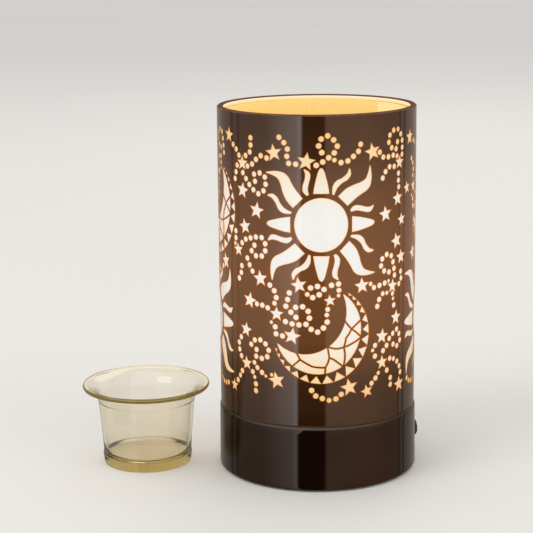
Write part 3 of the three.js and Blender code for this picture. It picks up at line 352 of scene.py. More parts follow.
def fair(rows, steps):
    """A smooth run through rows of numbers."""
    padded = [rows[0], *rows, rows[-1]]
    run = []
    for before, start, end, after in zip(padded, padded[1:], padded[2:], padded[3:]):
        for step in range(steps):
            t = step / steps
            run.append(tuple(
                0.5 * (2 * b + (c - a) * t + (2 * a - 5 * b + 4 * c - d) * t * t
                       + (3 * b - a - 3 * c + d) * t ** 3)
                for a, b, c, d in zip(before, start, end, after)))
    run.append(tuple(rows[-1]))
    return run


def clear(name, tint, ior):
    """Clear glass with the faintest drag marks in its surface."""
    material, tree, shader = finish(
        name, {"Transmission Weight": 1.0, "IOR": ior, "Roughness": 0.0})
    drag = cloud(tree, grain=7, stretch=(1, 1, 0.4))
    paler = [min(1, value * 1.02) for value in tint]
    painted(tree, shader, "Base Color", drag, tint, paler)
    relief(tree, shader, drag, depth=0.01)
    return material, tree, shader


def lit_burner():
    """The lit capsule, amber with hotter patches."""
    material, tree, shader = finish("lit burner", {"Emission Strength": 3.0, "Roughness": 0.2})
    heat = cloud(tree, grain=5, detail=1)
    glow = tone(tree, heat, (NOISE_LOW, 1.0, 0.78, 0.45), (NOISE_HIGH, 1.0, 0.93, 0.78))
    for socket in ("Base Color", "Emission Color"):
        tree.links.new(glow, shader.inputs[socket])
    return material


def mirrored_bowl():
    """Bright metal over pressed facets, warm with a painted glow of the burner's light."""
    material, tree, shader = finish("mirrored bowl", {"Metallic": 1.0, "Emission Strength": 1.0})
    facets = node(tree, "TexVoronoi", {"Vector": own_place(tree), "Scale": 1 / (FACET_SIZE * MM)})
    edge = facets.outputs["Distance"]
    # Painted shade darkens each facet towards its edge, and the painted glow is brightest at its
    # middle.
    painted(tree, shader, "Base Color", edge, (0.84, 0.82, 0.78), (0.60, 0.58, 0.55), start=0.1)
    painted(tree, shader, "Emission Color", edge, (0.30, 0.19, 0.09), (0.12, 0.07, 0.03), start=0.1)
    roughened(tree, shader, edge, 0.10, 0.22)
    relief(tree, shader, edge, depth=0.4)
    return material


def faced(thing, choose, *materials):
    """Gives a piece further materials, and each face the one chosen by where it is, in
    millimetres from the upright axis and the floor, and by how squarely it faces outwards."""
    for material in materials:
        thing.data.materials.append(material)
    for polygon in thing.data.polygons:
        spoke = Vector((polygon.center.x, polygon.center.y, 0))
        outwards = polygon.normal.dot(spoke.normalized())
        polygon.material_index = choose(spoke.length / MM, polygon.center.z / MM, outwards)


def bowl_face(reach, height, outwards):
    return 1 if outwards < INWARDS and height < BULB_TOP - 2 * LENS_THICKNESS else 0


bulb_glass, _, _ = clear("bulb glass", (0.95, 0.95, 0.93), 1.47)
bowl_height = BULB_TOP - BULB_NECK
bowl_spread = BULB_RADIUS - BULB_BASE_RADIUS
bowl = fair(BOWL_STATIONS, BOWL_STEPS)
bowl_outside = [
    (BULB_BASE_RADIUS + bowl_spread * a, BULB_NECK + bowl_height * b, 0) for a, b in bowl]
bowl_inside = [
    (BULB_BASE_RADIUS + bowl_spread * a - BULB_GLASS,
     BULB_NECK + BULB_GLASS + (bowl_height - BULB_GLASS) * b, 0)
    for a, b in reversed(bowl[BOWL_THROAT:])]
bulb_bowl = piece("bulb_bowl", turned([
    (0, BULB_NECK, 0), *bowl_outside, *bowl_inside,
    (CAPSULE_RADIUS + BULB_GLASS, BULB_NECK + BULB_GLASS, 0), (0, BULB_NECK + BULB_GLASS, 0),
], BULB_STEPS), bulb_glass, "bulb", "bulb_glass", "bulb_reflector")
faced(bulb_bowl, bowl_face, mirrored_bowl())
piece("bulb_cap", turned([
    (0, BULB_BOTTOM, 0), (BULB_FOOT_RADIUS, BULB_BOTTOM, CAP_FOOT_ROUND),
    (BULB_BASE_RADIUS, BULB_BOTTOM + BULB_BASE_HEIGHT, CAP_TOP_ROUND),
    (0, BULB_BOTTOM + BULB_BASE_HEIGHT, 0),
], BULB_STEPS), ceramic, "bulb", "ceramic", "bulb_base")
lens_top = BULB_TOP - LENS_THICKNESS / 2
piece("bulb_front_lens", turned([
    (0, lens_top - LENS_THICKNESS, 0), (LENS_RADIUS, lens_top - LENS_THICKNESS, LENS_ROUND),
    (LENS_RADIUS, lens_top - LENS_THICKNESS / 2, LENS_ROUND), (0, lens_top, 0),
], BULB_STEPS), bulb_glass, "bulb", "bulb_glass", "bulb_lens")
capsule_foot = BULB_NECK + BULB_GLASS + SEAT_GAP
capsule_tip = capsule_foot + CAPSULE_LENGTH
piece("bulb_burner", turned([
    (0, capsule_foot, 0), (CAPSULE_RADIUS, capsule_foot, CAPSULE_FOOT_ROUND),
    (CAPSULE_RADIUS, capsule_tip - CAPSULE_RADIUS, CAPSULE_SHOULDER_ROUND),
    (CAPSULE_RADIUS / 2, capsule_tip - CAPSULE_RADIUS / 4, CAPSULE_TIP_ROUND),
    (0, capsule_tip, 0),
], CAPSULE_STEPS), lit_burner(), "bulb", "bulb_glass", "bulb_capsule")
dress(zinc, "bulb_pin_front", "bulb_pin_back")


# The dish stand is bent from steel wire: a ring on three legs, each nutted to the deck.
WIRE_RADIUS = 1.5
RING_RADIUS = 27.9
RING_TOP = 154.3
LEG_FOOT_RADIUS = 30.5
LEG_FOOT = 32.9
LEG_STRAIGHT_TOP = 41.9
LEG_HEAD = 60.8
LEG_GAP = 0.3
LEG_TOP = RING_TOP - 2 * WIRE_RADIUS - LEG_GAP
LEG_AZIMUTHS = (60, 180, 300)
LEG_SIDES = 12
LEG_STEPS = 6
RING_SIDES = 16
RING_STEPS = 96

wire = worked(
    "bright wire", (0.50, 0.49, 0.47), (0.62, 0.61, 0.59), (0.16, 0.28), 0.6, 0.004, metallic=1.0)


def round_wire(points):
    """A wire along points: a circle round each of them, bridged to the next."""
    mesh = bmesh.new()
    last = len(points) - 1
    loops = []
    for index, point in enumerate(points):
        along = points[min(index + 1, last)] - points[max(index - 1, 0)]
        turn = along.to_track_quat("Z", "Y").to_matrix().to_4x4()
        circle = bmesh.ops.create_circle(
            mesh, segments=LEG_SIDES, radius=WIRE_RADIUS, matrix=Matrix.Translation(point) @ turn,
            cap_ends=index in (0, last))
        loops.append(circle["verts"])
    for pair in zip(loops, loops[1:]):
        edges = [edge for edge in mesh.edges
                 if any(all(vert in loop for vert in edge.verts) for loop in pair)]
        bmesh.ops.bridge_loops(mesh, edges=edges)
    bmesh.ops.recalc_face_normals(mesh, faces=mesh.faces)
    return mesh


def around(radius, azimuth, height):
    """A point by its azimuth in degrees, from the front towards the right."""
    angle = math.radians(azimuth)
    return Vector((radius * math.sin(angle), -radius * math.cos(angle), height))


ring_mesh = bmesh.new()
ring_place = Matrix.Translation((RING_RADIUS, 0, RING_TOP - WIRE_RADIUS))
bmesh.ops.create_circle(
    ring_mesh, segments=RING_SIDES, radius=WIRE_RADIUS,
    matrix=ring_place @ Matrix.Rotation(math.pi / 2, 4, "X"))
spin_up(ring_mesh, RING_STEPS)
bmesh.ops.recalc_face_normals(ring_mesh, faces=ring_mesh.faces)
piece("dish_ring_wire", ring_mesh, wire, "base", "zinc_steel", "dish_ring")

for number, azimuth in enumerate(LEG_AZIMUTHS, 1):
    route = fair([
        around(LEG_FOOT_RADIUS, azimuth, LEG_FOOT),
        around(LEG_FOOT_RADIUS, azimuth, LEG_STRAIGHT_TOP),
        around(RING_RADIUS, azimuth, LEG_HEAD), around(RING_RADIUS, azimuth, LEG_TOP),
    ], LEG_STEPS)
    piece(f"leg_wire_{number}", round_wire([Vector(point) for point in route]),
          wire, "base", "zinc_steel", f"stand_leg_{number}")
dress(zinc, *numbered("leg_nut", 3))


# The shade is a tube of clear glass with a ground rim, standing free on the drum's land and
# frosted inside. A sheet of diffuser is curled inside it, lapped at one seam.
SHADE_BOTTOM = 32.9
SHADE_TOP = 181.1
GLASS_OUTER = 48.15
GLASS_INNER = 45.5
RIM_ROUND = 0.6
TUBE_FOOT_ROUND = 0.4
LINER_OUTER = 45.2
LINER_THICKNESS = 0.6
LINER_DROP = 2.3
LINER_SEAM = 95.0
LINER_LAP = 0.9
LAP_STEPS = 16
LAP_SLOPE = 6
FACE_ON = 0.5

tube_glass, _, _ = clear("tube glass", (0.93, 0.92, 0.90), 1.5)
tube = piece("glass_tube", turned([
    (GLASS_INNER, SHADE_BOTTOM, TUBE_FOOT_ROUND), (GLASS_OUTER, SHADE_BOTTOM, TUBE_FOOT_ROUND),
    (GLASS_OUTER, SHADE_TOP, RIM_ROUND), (GLASS_INNER, SHADE_TOP, RIM_ROUND),
]), tube_glass, "shade", "shade_glass", "glass_shade")


def shade_share(tree):
    """How far up the shade a spot is, from 0 at its foot to 1 at its rim."""
    parts = node(tree, "SeparateXYZ", {"Vector": own_place(tree)})
    return between(tree, parts.outputs["Z"], 0, 1, SHADE_BOTTOM * MM, SHADE_TOP * MM)


def mixed(tree, first, second, share, blend="MIX"):
    mix = node(
        tree, "Mix", {"Factor": share, "A": first, "B": second}, data_type="RGBA", blend_type=blend)
    return mix.outputs["Result"]


def lit_sheet(name, stops, grain, contrast):
    """The diffuser with the bulb behind it: a painted glow of its light that runs along its height.
    """
    material, tree, shader = finish(name, {"Emission Strength": 1.0, "Roughness": 0.8})
    glow = tone(tree, shade_share(tree), *stops)
    sand = cloud(tree, grain, detail=3)
    grit = tone(
        tree, sand, (NOISE_LOW, contrast, contrast * 0.97, contrast * 0.9), (NOISE_HIGH, 1, 1, 1))
    tree.links.new(mixed(tree, glow, grit, 1.0, "MULTIPLY"), shader.inputs["Emission Color"])
    painted(tree, shader, "Base Color", sand, (0.09, 0.075, 0.055), (0.12, 0.10, 0.08))
    relief(tree, shader, sand, depth=0.05)
    return material


# The painted glow of the bulb's light that the lit sheets show, from the shade's foot to its rim.
OUTSIDE_GLOW = (
    (0.0, 0.95, 0.50, 0.16), (0.075, 0.95, 0.59, 0.25), (0.13, 0.94, 0.70, 0.41),
    (0.25, 0.92, 0.86, 0.76), (0.33, 0.89, 0.90, 0.91), (0.68, 0.89, 0.90, 0.91),
    (0.77, 0.92, 0.86, 0.76), (0.86, 0.95, 0.74, 0.47), (0.94, 0.95, 0.66, 0.29),
    (0.985, 0.95, 0.62, 0.25))
INSIDE_GLOW = (
    (0.0, 0.75, 0.42, 0.12), (0.4, 0.94, 0.60, 0.19), (0.8, 0.92, 0.56, 0.14),
    (0.93, 0.93, 0.57, 0.145), (0.98, 0.96, 0.64, 0.20))
LAPPED_GLOW = (
    (0.0, 0.80, 0.48, 0.16), (0.4, 0.98, 0.70, 0.28), (0.8, 0.98, 0.67, 0.24),
    (0.98, 0.99, 0.74, 0.31))
CUT_EDGE_GLOW = ((0.0, 0.40, 0.17, 0.03), (1.0, 0.44, 0.19, 0.035))
FROSTED_GLOW = (*OUTSIDE_GLOW, (0.99, 0.97, 0.78, 0.45), (1.0, 0.98, 0.90, 0.74))
outside_glow = lit_sheet("diffuser outside", OUTSIDE_GLOW, grain=0.5, contrast=0.96)
inside_glow = lit_sheet("diffuser inside", INSIDE_GLOW, grain=0.7, contrast=0.86)
edge_glow = lit_sheet("diffuser cut edge", CUT_EDGE_GLOW, grain=0.5, contrast=0.85)
lapped_glow = lit_sheet("diffuser lap", LAPPED_GLOW, grain=0.7, contrast=0.9)
frosted_glow = lit_sheet("frosted inside of the tube", FROSTED_GLOW, grain=0.5, contrast=0.96)


def ground_rim():
    """The tube's ground rim, misted brown by the coating, with the lamp glowing through it."""
    material, tree, shader = finish(
        "ground rim", {"Emission Strength": 1.0, "Specular IOR Level": 0.0})
    grind = cloud(tree, grain=1.2, detail=4)
    painted(tree, shader, "Base Color", grind, (0.045, 0.032, 0.026), (0.08, 0.058, 0.048))
    painted(tree, shader, "Emission Color", grind, (0.07, 0.026, 0.009), (0.11, 0.045, 0.016))
    roughened(tree, shader, grind, 0.4, 0.6)
    relief(tree, shader, grind, depth=0.02)
    return material


def tube_face(reach, height, outwards):
    if height > SHADE_TOP - RIM_ROUND:
        return 2
    return 1 if reach < GLASS_INNER + CLOSE else 0


# The tube's frosted inside carries the same painted glow of the bulb's light as the diffuser.
faced(tube, tube_face, frosted_glow, ground_rim())


def made_verts(made):
    """The vertices that an operator made."""
    return [item for item in made["geom"] if isinstance(item, bmesh.types.BMVert)]


def liner_mesh():
    """A sheet that goes once round and laps under itself at the seam."""
    mesh = bmesh.new()
    spots = []
    for step in range(ROUND_STEPS + LAP_STEPS + 1):
        share = max(0, step - ROUND_STEPS) / LAP_STEPS
        radius = LINER_OUTER - LINER_LAP * min(1, share * LAP_SLOPE)
        point = around(radius, LINER_SEAM + 360 * step / ROUND_STEPS, SHADE_BOTTOM)
        spots.append(mesh.verts.new(point))
    for pair in zip(spots, spots[1:]):
        mesh.edges.new(pair)
    wall = bmesh.ops.extrude_edge_only(mesh, edges=mesh.edges)
    rise = (0, 0, SHADE_TOP - LINER_DROP - SHADE_BOTTOM)
    bmesh.ops.translate(mesh, vec=rise, verts=made_verts(wall))
    bmesh.ops.recalc_face_normals(mesh, faces=mesh.faces)
    thick = bmesh.ops.extrude_face_region(mesh, geom=mesh.faces[:])
    for vert in made_verts(thick):
        reach = math.hypot(vert.co.x, vert.co.y)
        vert.co.xy *= (reach - LINER_THICKNESS) / reach
    bmesh.ops.recalc_face_normals(mesh, faces=mesh.faces)
    return mesh


def liner_face(reach, height, outwards):
    if outwards > FACE_ON:
        return 0
    if outwards > -FACE_ON:
        return 2
    return 3 if reach < LINER_OUTER - LINER_THICKNESS - LINER_LAP / 2 else 1


liner = piece(
    "diffuser_sheet", liner_mesh(), outside_glow, "shade", "diffuser_sheet", "diffuser_liner")
faced(liner, liner_face, inside_glow, edge_glow, lapped_glow)


# The mirror skin is a thin vacuum-metal coating over the glass. A laser has burnt suns,
# crescents, stars and dotted scrolls through it; round each one runs an amber line, a painted
# glow of the lamp's light.
SKIN_OUTER = 48.5
SKIN_INNER = 48.25
AMBER_OUTER = 48.42
AMBER_INNER = 48.3
AMBER_WIDTH = 0.36
DEGREES_PER_UNIT = 0.9
HEIGHT_PER_UNIT = 0.766
ARTWORK_FOOT = 43.9
PATTERN_TURN = 2.5
REPEAT = 200
FACETS_PER_REPEAT = 48
BAND_LOW = 0.3
BAND_HIGH = 169.6

SUN_DISC_RADIUS = 16.8
SUN_DISC_SIDES = 48
STRAIGHT_RAY = (
    (19.0, 0, 5.1), (24, 0, 4.3), (29, 0, 3.1), (32.5, 0, 2.1), (34.4, 0, 1.1), (35.0, 0, 0))
SHORT_RAY = (
    (19.9, 0.4, 0.9), (23.2, 0.7, 1.8), (26.5, -1.0, 2.2), (29.5, -3.4, 2.1), (32.5, -4.6, 1.6),
    (35, -3.9, 0.7), (35.8, -3.7, 0))
CURLED_RAY = (
    (19.4, 0.8, 4.4), (26, 0.3, 4.6), (31, -1.2, 4.2), (35, -2.9, 3.7), (39, -3.3, 2.8),
    (43, -1.2, 2.0), (46.2, 1.7, 1.0), (47.3, 2.7, 0))
LONG_RAY = (
    (19.7, 0.5, 0.8), (24.3, 1.3, 1.7), (28.3, 0.1, 2.1), (31.4, -2.5, 2.0), (35, -3.8, 1.5),
    (37.8, -3.0, 0.7), (38.5, -2.8, 0))
RAYS = ((0, STRAIGHT_RAY), (23, SHORT_RAY), (45, CURLED_RAY), (67, LONG_RAY))
RAY_STEPS = 3

CRESCENT_RADIUS = 31.1
HOLLOW_SHIFT = 18.1
HOLLOW_RADIUS = 26.2
BAND_SHIFT = 3.5
BAND_RADIUS = 28.3
THICK_SIDE = -53
TEETH_EACH_WAY = 9
TEETH_SPREAD = 118
TOOTH_STEP = 7.25
TOOTH_GAP = 0.02
TOOTH_BASE_STEPS = 4
RIB = 0.9
ARC_STEP = 8
# Panes: the corners of each, by turn from the thick side and share of the way to the band of teeth.
PANES = (
    ((-92, 0), (-77, 0.44), (-79, 1), (-115, 1), (-115, 0)),
    ((-92, 0), (-9, 0), (-18, 0.42), (-30, 0.73), (-53, 0.65), (-77, 0.44)),
    ((-77, 0.44), (-53, 0.65), (-30, 0.73), (-32, 1), (-79, 1)),
    ((-18, 0.42), (-11, 0.55), (-3, 1), (-32, 1), (-30, 0.73)),
    ((-9, 0), (13, 0.34), (23, 0.47), (-3, 1), (-11, 0.55), (-18, 0.42)),
    ((-9, 0), (84, 0), (62, 0.5), (44, 0.37), (23, 0.47), (13, 0.34)),
    ((23, 0.47), (35, 0.69), (47, 1), (-3, 1)),
    ((23, 0.47), (44, 0.37), (62, 0.5), (47, 1), (35, 0.69)),
    ((62, 0.5), (71, 1), (47, 1)),
    ((84, 0), (115, 0), (115, 1), (71, 1), (62, 0.5)),
)

STAR_POINTS = 5
STAR_WAIST_SHARE = 0.45
STAR_MARGIN = 0.5
DOT_RADIUS = 1.9
DOT_SIDES = 12
DOT_PITCH = 4.4
SMALLEST_DOT = 1.1
DOT_GAP = 0.3
DOT_NUDGE = 1.6
CROWDING_REACH = 50
WALL_FACING = 0.9

SUN_PLACES = ((0, 112.5), (99.5, 44))
CRESCENT_PLACES = ((0, 0), (107.2, 73.3))
CRESCENT_CENTRE = Vector((-0.2, 44))

# Stars: across, up, reach, turn.
STARS = (
    (-29.7, 156, 5.4, 8), (-9.1, 151.2, 5.6, -8), (33.2, 155.7, 5.6, 12), (-42.3, 119.7, 5.4, -8),
    (-52.2, 108.7, 5.0, 10), (43.6, 116.4, 5.2, 6), (54.1, 98.4, 5.2, 14), (-40, 77.4, 5.2, 6),
    (-48.6, 62.5, 5.2, -10), (-52.2, 43.2, 4.8, -8), (-52, 21.5, 4.6, 4), (41.3, 39.6, 5.0, -6),
    (41.3, 22.8, 4.6, 2), (54.1, 49.5, 5.0, -4), (58, 5.4, 5.2, 4), (-68, 163.9, 5.0, -4),
    (-54, 147.9, 4.8, 0), (-54, 131.1, 5.2, -8), (-58.8, 93.3, 4.4, 6), (56.8, 147.1, 4.6, -4),
    (55, 124.8, 5.0, 4), (59.5, 111.1, 4.2, 6), (70.5, 161.1, 5.4, 0), (59.1, 87.6, 4.8, 4),
    (50.3, 70.3, 4.6, -4), (-65, 4.6, 4.0, 0), (29.7, 6, 4.2, 14), (26.0, 73.6, 5.0, 4),
    (66.5, 130, 4.2, 8), (90.5, 161.5, 5.0, 6),
)
CRESCENT_STARS = (
    (-14.0, 75.2, 5.0, 10), (-18.5, 42.9, 5.4, -10), (-28.5, 56.2, 4.6, 0),
    (-28.9, 13.7, 5.6, 12), (17.5, 9.9, 5.6, 10), (5.2, 65.6, 3.6, 6),
)
# Scrolls of dots: across, up, heading, how many, and how the heading bends on the way.
SCROLLS = (
    (-46.5, 164, -90, 4, (-10, -45)), (-34.5, 152.5, 165, 5, (50, 10, -25)),
    (-63.2, 158.6, -38, 3, (-15,)), (-59, 146, -105, 4, (0, 45)),
    (-53.5, 142, -51, 11, (0, 10, 12, 58, 40, 28, 52, 45, 85)),
    (-61.2, 104.7, -90, 3, (0,)), (-55, 98, 38, 11, (-20, -5, -12, -55, -36, -37, -49, -42, -84)),
    (-50.3, 89, -65, 4, (8, 38)), (-55.5, 83.4, -98, 3, (-20,)),
    (-43, 61, -4, 3, (-14,)), (-57, 37.5, -119, 4, (34, 19)),
    (-47.8, 34.4, 47, 9, (-38, -37, -31, -45, -54, -32, -84)),
    (-46.4, 22.8, -38, 5, (2, 7, 36)), (-56, 16, -123, 3, (-2,)), (-47.4, 17.4, -60, 4, (-18, -12)),
    (-26, 165.5, -45, 6, (-15, -35, 20, 70)), (-3, 149, 27, 10, (8, 5, 25, 55, 25, 60, 45, 45)),
    (8, 152, -22, 6, (33, 25, 5, 30)), (38.5, 155, -48, 5, (45, 10, -25)),
    (59.5, 151.5, 87, 11, (4, 22, 20, 50, 35, 40, 48, 40, 85)), (51.3, 145, 176, 4, (42, 20)),
    (55.8, 140.3, -91, 3, (6,)), (33, 10.4, 45, 3, (10,)), (36.4, 35.2, -126, 4, (61, -11)),
    (42.2, 25.7, 90, 11, (-38, 0, -14, -11, -80, -25, -58, -68, -73)),
    (47.6, 24, -11, 5, (-23, -20, -20)), (44.8, 18, -30, 4, (-56, -3)),
    (31, 74, -35, 5, (46, 0, -13)), (46, 67.2, 187, 4, (41, 23)), (50.4, 66.5, -82, 4, (2, 9)),
    (56.5, 70.5, 46, 3, (50,)), (52.3, 76.8, 97, 10, (7, 8, 49, 50, 46, 50, 36, 94)),
    (77.8, 158.4, -25, 3, (35,)), (96.5, 158.8, -25, 3, (35,)),
    (124, 152, 97, 10, (7, 8, 49, 50, 46, 50, 36, 94)),
    (110.5, 7.5, -45, 5, (25, 20, 15)), (88.5, 7.5, -135, 6, (-25, -20, -15, -20)),
)
CRESCENT_SCROLLS = (
    (-33, 74, -47, 4, (-25, -33)), (-16, 72, 205, 5, (50, 0, -14)),
    (-6.7, 73.7, 13, 6, (-39, -106, -24, -56)), (6.2, 75.2, 8, 2, (0,)),
    (10.8, 71.9, -112, 2, (0,)),
    (4, 61, -100, 11, (13, -35, -22, -60, -20, 50, -10, -12, -5)),
    (-7.5, 54.7, 100, 6, (41, 46, 40, 89)), (-31.3, 52, -66, 4, (-17, 70)),
    (-6.3, 8.8, -54, 6, (32, 5, 27, 29)),
)
# The painted glow of the lamp's light through the coating, and how the lamp lights the
# amber lines, from the shade's foot to its rim.
COATING_PAINTED_GLOW = (
    (0.0, 0.012, 0.004, 0.001), (0.14, 0.030, 0.011, 0.003), (0.28, 0.120, 0.046, 0.014),
    (0.5, 0.150, 0.056, 0.017), (0.74, 0.100, 0.040, 0.013), (0.88, 0.034, 0.012, 0.004),
    (1.0, 0.020, 0.007, 0.002),
)
AMBER_LIGHT = (
    (0.0, 0.5, 0.5, 0.5), (0.2, 0.8, 0.8, 0.8), (0.35, 1, 1, 1), (0.55, 1, 1, 1),
    (0.75, 0.72, 0.72, 0.72), (1.0, 0.5, 0.5, 0.5),
)
# The seam where the two halves of the artwork meet winds between the openings.
SEAM = (
    (-71, -14.36), (-71, 8), (-66, 10.4), (-63.4, 12.5), (-63.4, 88), (-65.2, 92), (-65.2, 98),
    (-64, 104), (-62.5, 107.8), (-60.3, 112), (-60.3, 126), (-61.2, 132), (-65, 139), (-65, 153),
    (-74.8, 157.5), (-74.8, 178.33),
)


def heading_step(degrees, reach):
    angle = math.radians(degrees)
    return Vector((reach * math.cos(angle), reach * math.sin(angle)))


def disc(centre, radius, sides):
    return [centre + heading_step(360 * i / sides, radius) for i in range(sides)]


def star(centre, reach, turn):
    tip = reach + STAR_MARGIN
    reaches = (tip, tip * STAR_WAIST_SHARE) * STAR_POINTS
    return [centre + heading_step(90 + turn + 180 / STAR_POINTS * i, out)
            for i, out in enumerate(reaches)]


def ray(centre, degrees, stations):
    """A sun ray along a direction, from stations of (reach, sway, half width)."""
    run = fair(stations, RAY_STEPS)

    def spot(reach, sway):
        return centre + heading_step(degrees, reach) + heading_step(degrees + 90, sway)
    right = [spot(reach, sway - half) for reach, sway, half in run]
    left = [spot(reach, sway + half) for reach, sway, half in reversed(run[:-1])]
    return right + left


def reach_to(turn, shift, radius):
    """How far along a turn a circle, shifted from the thick side, is from the crescent's centre."""
    along = -shift * math.cos(math.radians(turn))
    return along + math.sqrt(radius ** 2 - shift ** 2 + along ** 2)


def pane(centre, corners):
    """A pane of the crescent from its hollow to its band of teeth, less half a rib all round."""
    outline = []
    for (turn, share), (next_turn, next_share) in zip(corners, corners[1:] + corners[:1]):
        steps = max(1, round(abs(next_turn - turn) / ARC_STEP))
        for step in range(steps):
            t = step / steps
            way = turn + (next_turn - turn) * t
            low = reach_to(way, HOLLOW_SHIFT, HOLLOW_RADIUS)
            high = reach_to(way, BAND_SHIFT, BAND_RADIUS)
            reach = low + (high - low) * (share + (next_share - share) * t)
            outline.append(centre + heading_step(THICK_SIDE + way, reach))
    mesh = bmesh.new()
    face = mesh.faces.new([mesh.verts.new((*point, 0)) for point in outline])
    mesh.normal_update()
    bmesh.ops.inset_individual(mesh, faces=[face], thickness=RIB / 2, use_even_offset=True)
    inner = [vert.co.xy for vert in face.verts]
    mesh.free()
    return inner


def tooth(centre, number):
    """A tooth of the crescent, its base on the rim, its point inwards; the horns' are smallest."""
    def turn(place):
        return TEETH_SPREAD * math.sin(math.radians(TOOTH_STEP * place))
    start = turn(number - 0.5 + TOOTH_GAP)
    end = turn(number + 0.5 - TOOTH_GAP)
    ways = [start + (end - start) * i / TOOTH_BASE_STEPS for i in range(TOOTH_BASE_STEPS + 1)]
    base = [centre + heading_step(THICK_SIDE + way, CRESCENT_RADIUS) for way in ways]
    point = reach_to(turn(number), BAND_SHIFT, BAND_RADIUS) + RIB / 2
    return base + [centre + heading_step(THICK_SIDE + turn(number), point)]


def scroll_dots(across, up, heading, count, bends):
    """The places of a scroll's dots: each step turns by the bends, run together evenly."""
    places = [Vector((across, up))]
    last = max(1, count - 3)
    for step in range(count - 1):
        if step:
            way = (step - 1) * (len(bends) - 1) / last
            low = min(int(way), max(0, len(bends) - 2))
            high = min(low + 1, len(bends) - 1)
            heading += bends[low] + (bends[high] - bends[low]) * (way - low)
        places.append(places[-1] + heading_step(heading, DOT_PITCH))
    return places


def gap_to(point, outline):
    """The distance from a point to an outline, negative inside it."""
    nearest = math.inf
    inside = False
    for start, end in zip(outline, outline[1:] + outline[:1]):
        side = end - start
        share = max(0, min(1, (point - start).dot(side) / side.length_squared))
        nearest = min(nearest, (point - start - side * share).length)
        if (start.y > point.y) != (end.y > point.y):
            inside ^= point.x < start.x + side.x * (point.y - start.y) / side.y
    return -nearest if inside else nearest


def openings():
    """Every opening of one half of the shade, as outlines in artwork units."""
    shapes = []
    dots = []
    for place in SUN_PLACES:
        centre = Vector(place)
        shapes.append(disc(centre, SUN_DISC_RADIUS, SUN_DISC_SIDES))
        shapes += [ray(centre, quarter + turn, stations)
                   for quarter in (0, 90, 180, 270) for turn, stations in RAYS]
    for place in CRESCENT_PLACES:
        shift = Vector(place)
        centre = CRESCENT_CENTRE + shift
        shapes += [tooth(centre, number) for number in range(-TEETH_EACH_WAY, TEETH_EACH_WAY + 1)]
        shapes += [pane(centre, corners) for corners in PANES]
        shapes += [
            star(Vector((u, v)) + shift, reach, turn) for u, v, reach, turn in CRESCENT_STARS]
        dots += [spot + shift for scroll in CRESCENT_SCROLLS for spot in scroll_dots(*scroll)]
    shapes += [star(Vector((u, v)), reach, turn) for u, v, reach, turn in STARS]
    dots += [spot for scroll in SCROLLS for spot in scroll_dots(*scroll)]
    cut = []
    for spot in dots:
        near = [outline for outline in shapes if (outline[0] - spot).length < CROWDING_REACH]
        for outline in near:
            crowding = DOT_RADIUS + DOT_GAP - gap_to(spot, outline)
            if crowding > 0:
                middle = sum(outline, Vector((0, 0))) / len(outline)
                spot = spot + (spot - middle).normalized() * min(crowding, DOT_NUDGE)
        room = min(
            [gap_to(spot, outline) for outline in near] + [spot.y - BAND_LOW, BAND_HIGH - spot.y])
        beside = min([(spot - other).length - radius for other, radius in cut] + [room])
        radius = min(DOT_RADIUS, room - DOT_GAP, beside - DOT_GAP)
        if radius > SMALLEST_DOT:
            cut.append((spot, radius))
    return shapes + [disc(spot, radius, DOT_SIDES) for spot, radius in cut]


def wrapped(mesh, outer, inner):
    """Wraps flat artwork round the shade, turns a copy to the other half and thickens both."""
    facet = REPEAT / FACETS_PER_REPEAT
    left = min(vert.co.x for vert in mesh.verts)
    right = max(vert.co.x for vert in mesh.verts)
    for line in range(math.ceil(left / facet), math.ceil(right / facet)):
        bmesh.ops.bisect_plane(
            mesh, geom=mesh.verts[:] + mesh.edges[:] + mesh.faces[:], dist=CLOSE / 10,
            plane_co=(line * facet, 0, 0), plane_no=(1, 0, 0))
    for vert in mesh.verts:
        across, up, _ = vert.co
        vert.co = around(
            outer, across * DEGREES_PER_UNIT + PATTERN_TURN, ARTWORK_FOOT + up * HEIGHT_PER_UNIT)
    other = bmesh.ops.duplicate(mesh, geom=mesh.verts[:] + mesh.edges[:] + mesh.faces[:])
    half_turn = Matrix.Rotation(math.pi, 3, "Z")
    bmesh.ops.rotate(mesh, cent=(0, 0, 0), matrix=half_turn, verts=made_verts(other))
    bmesh.ops.remove_doubles(mesh, verts=mesh.verts, dist=CLOSE)
    bmesh.ops.recalc_face_normals(mesh, faces=mesh.faces)
    back = bmesh.ops.extrude_face_region(mesh, geom=mesh.faces[:])
    bmesh.ops.scale(mesh, vec=(inner / outer, inner / outer, 1), verts=made_verts(back))
    bmesh.ops.recalc_face_normals(mesh, faces=mesh.faces)
    return mesh


def outline_edges(mesh, points):
    verts = [mesh.verts.new((*point, 0)) for point in points]
    for pair in zip(verts, verts[1:] + verts[:1]):
        mesh.edges.new(pair)


def coating_mesh(outlines):
    mesh = bmesh.new()
    seam = [Vector(point) for point in SEAM]
    far_side = [point + Vector((REPEAT, 0)) for point in reversed(seam)]
    outline_edges(mesh, seam + far_side)
    for outline in outlines:
        outline_edges(mesh, outline)
    bmesh.ops.triangle_fill(
        mesh, use_beauty=False, use_dissolve=False, edges=mesh.edges[:], normal=(0, 0, 1))
    return wrapped(mesh, SKIN_OUTER, SKIN_INNER)


def amber_mesh(outlines):
    mesh = bmesh.new()
    faces = [
        mesh.faces.new([mesh.verts.new((*point, 0)) for point in outline]) for outline in outlines]
    mesh.normal_update()
    bmesh.ops.inset_individual(mesh, faces=faces, thickness=AMBER_WIDTH, use_even_offset=True)
    bmesh.ops.delete(mesh, geom=faces, context="FACES")
    return wrapped(mesh, AMBER_OUTER, AMBER_INNER)


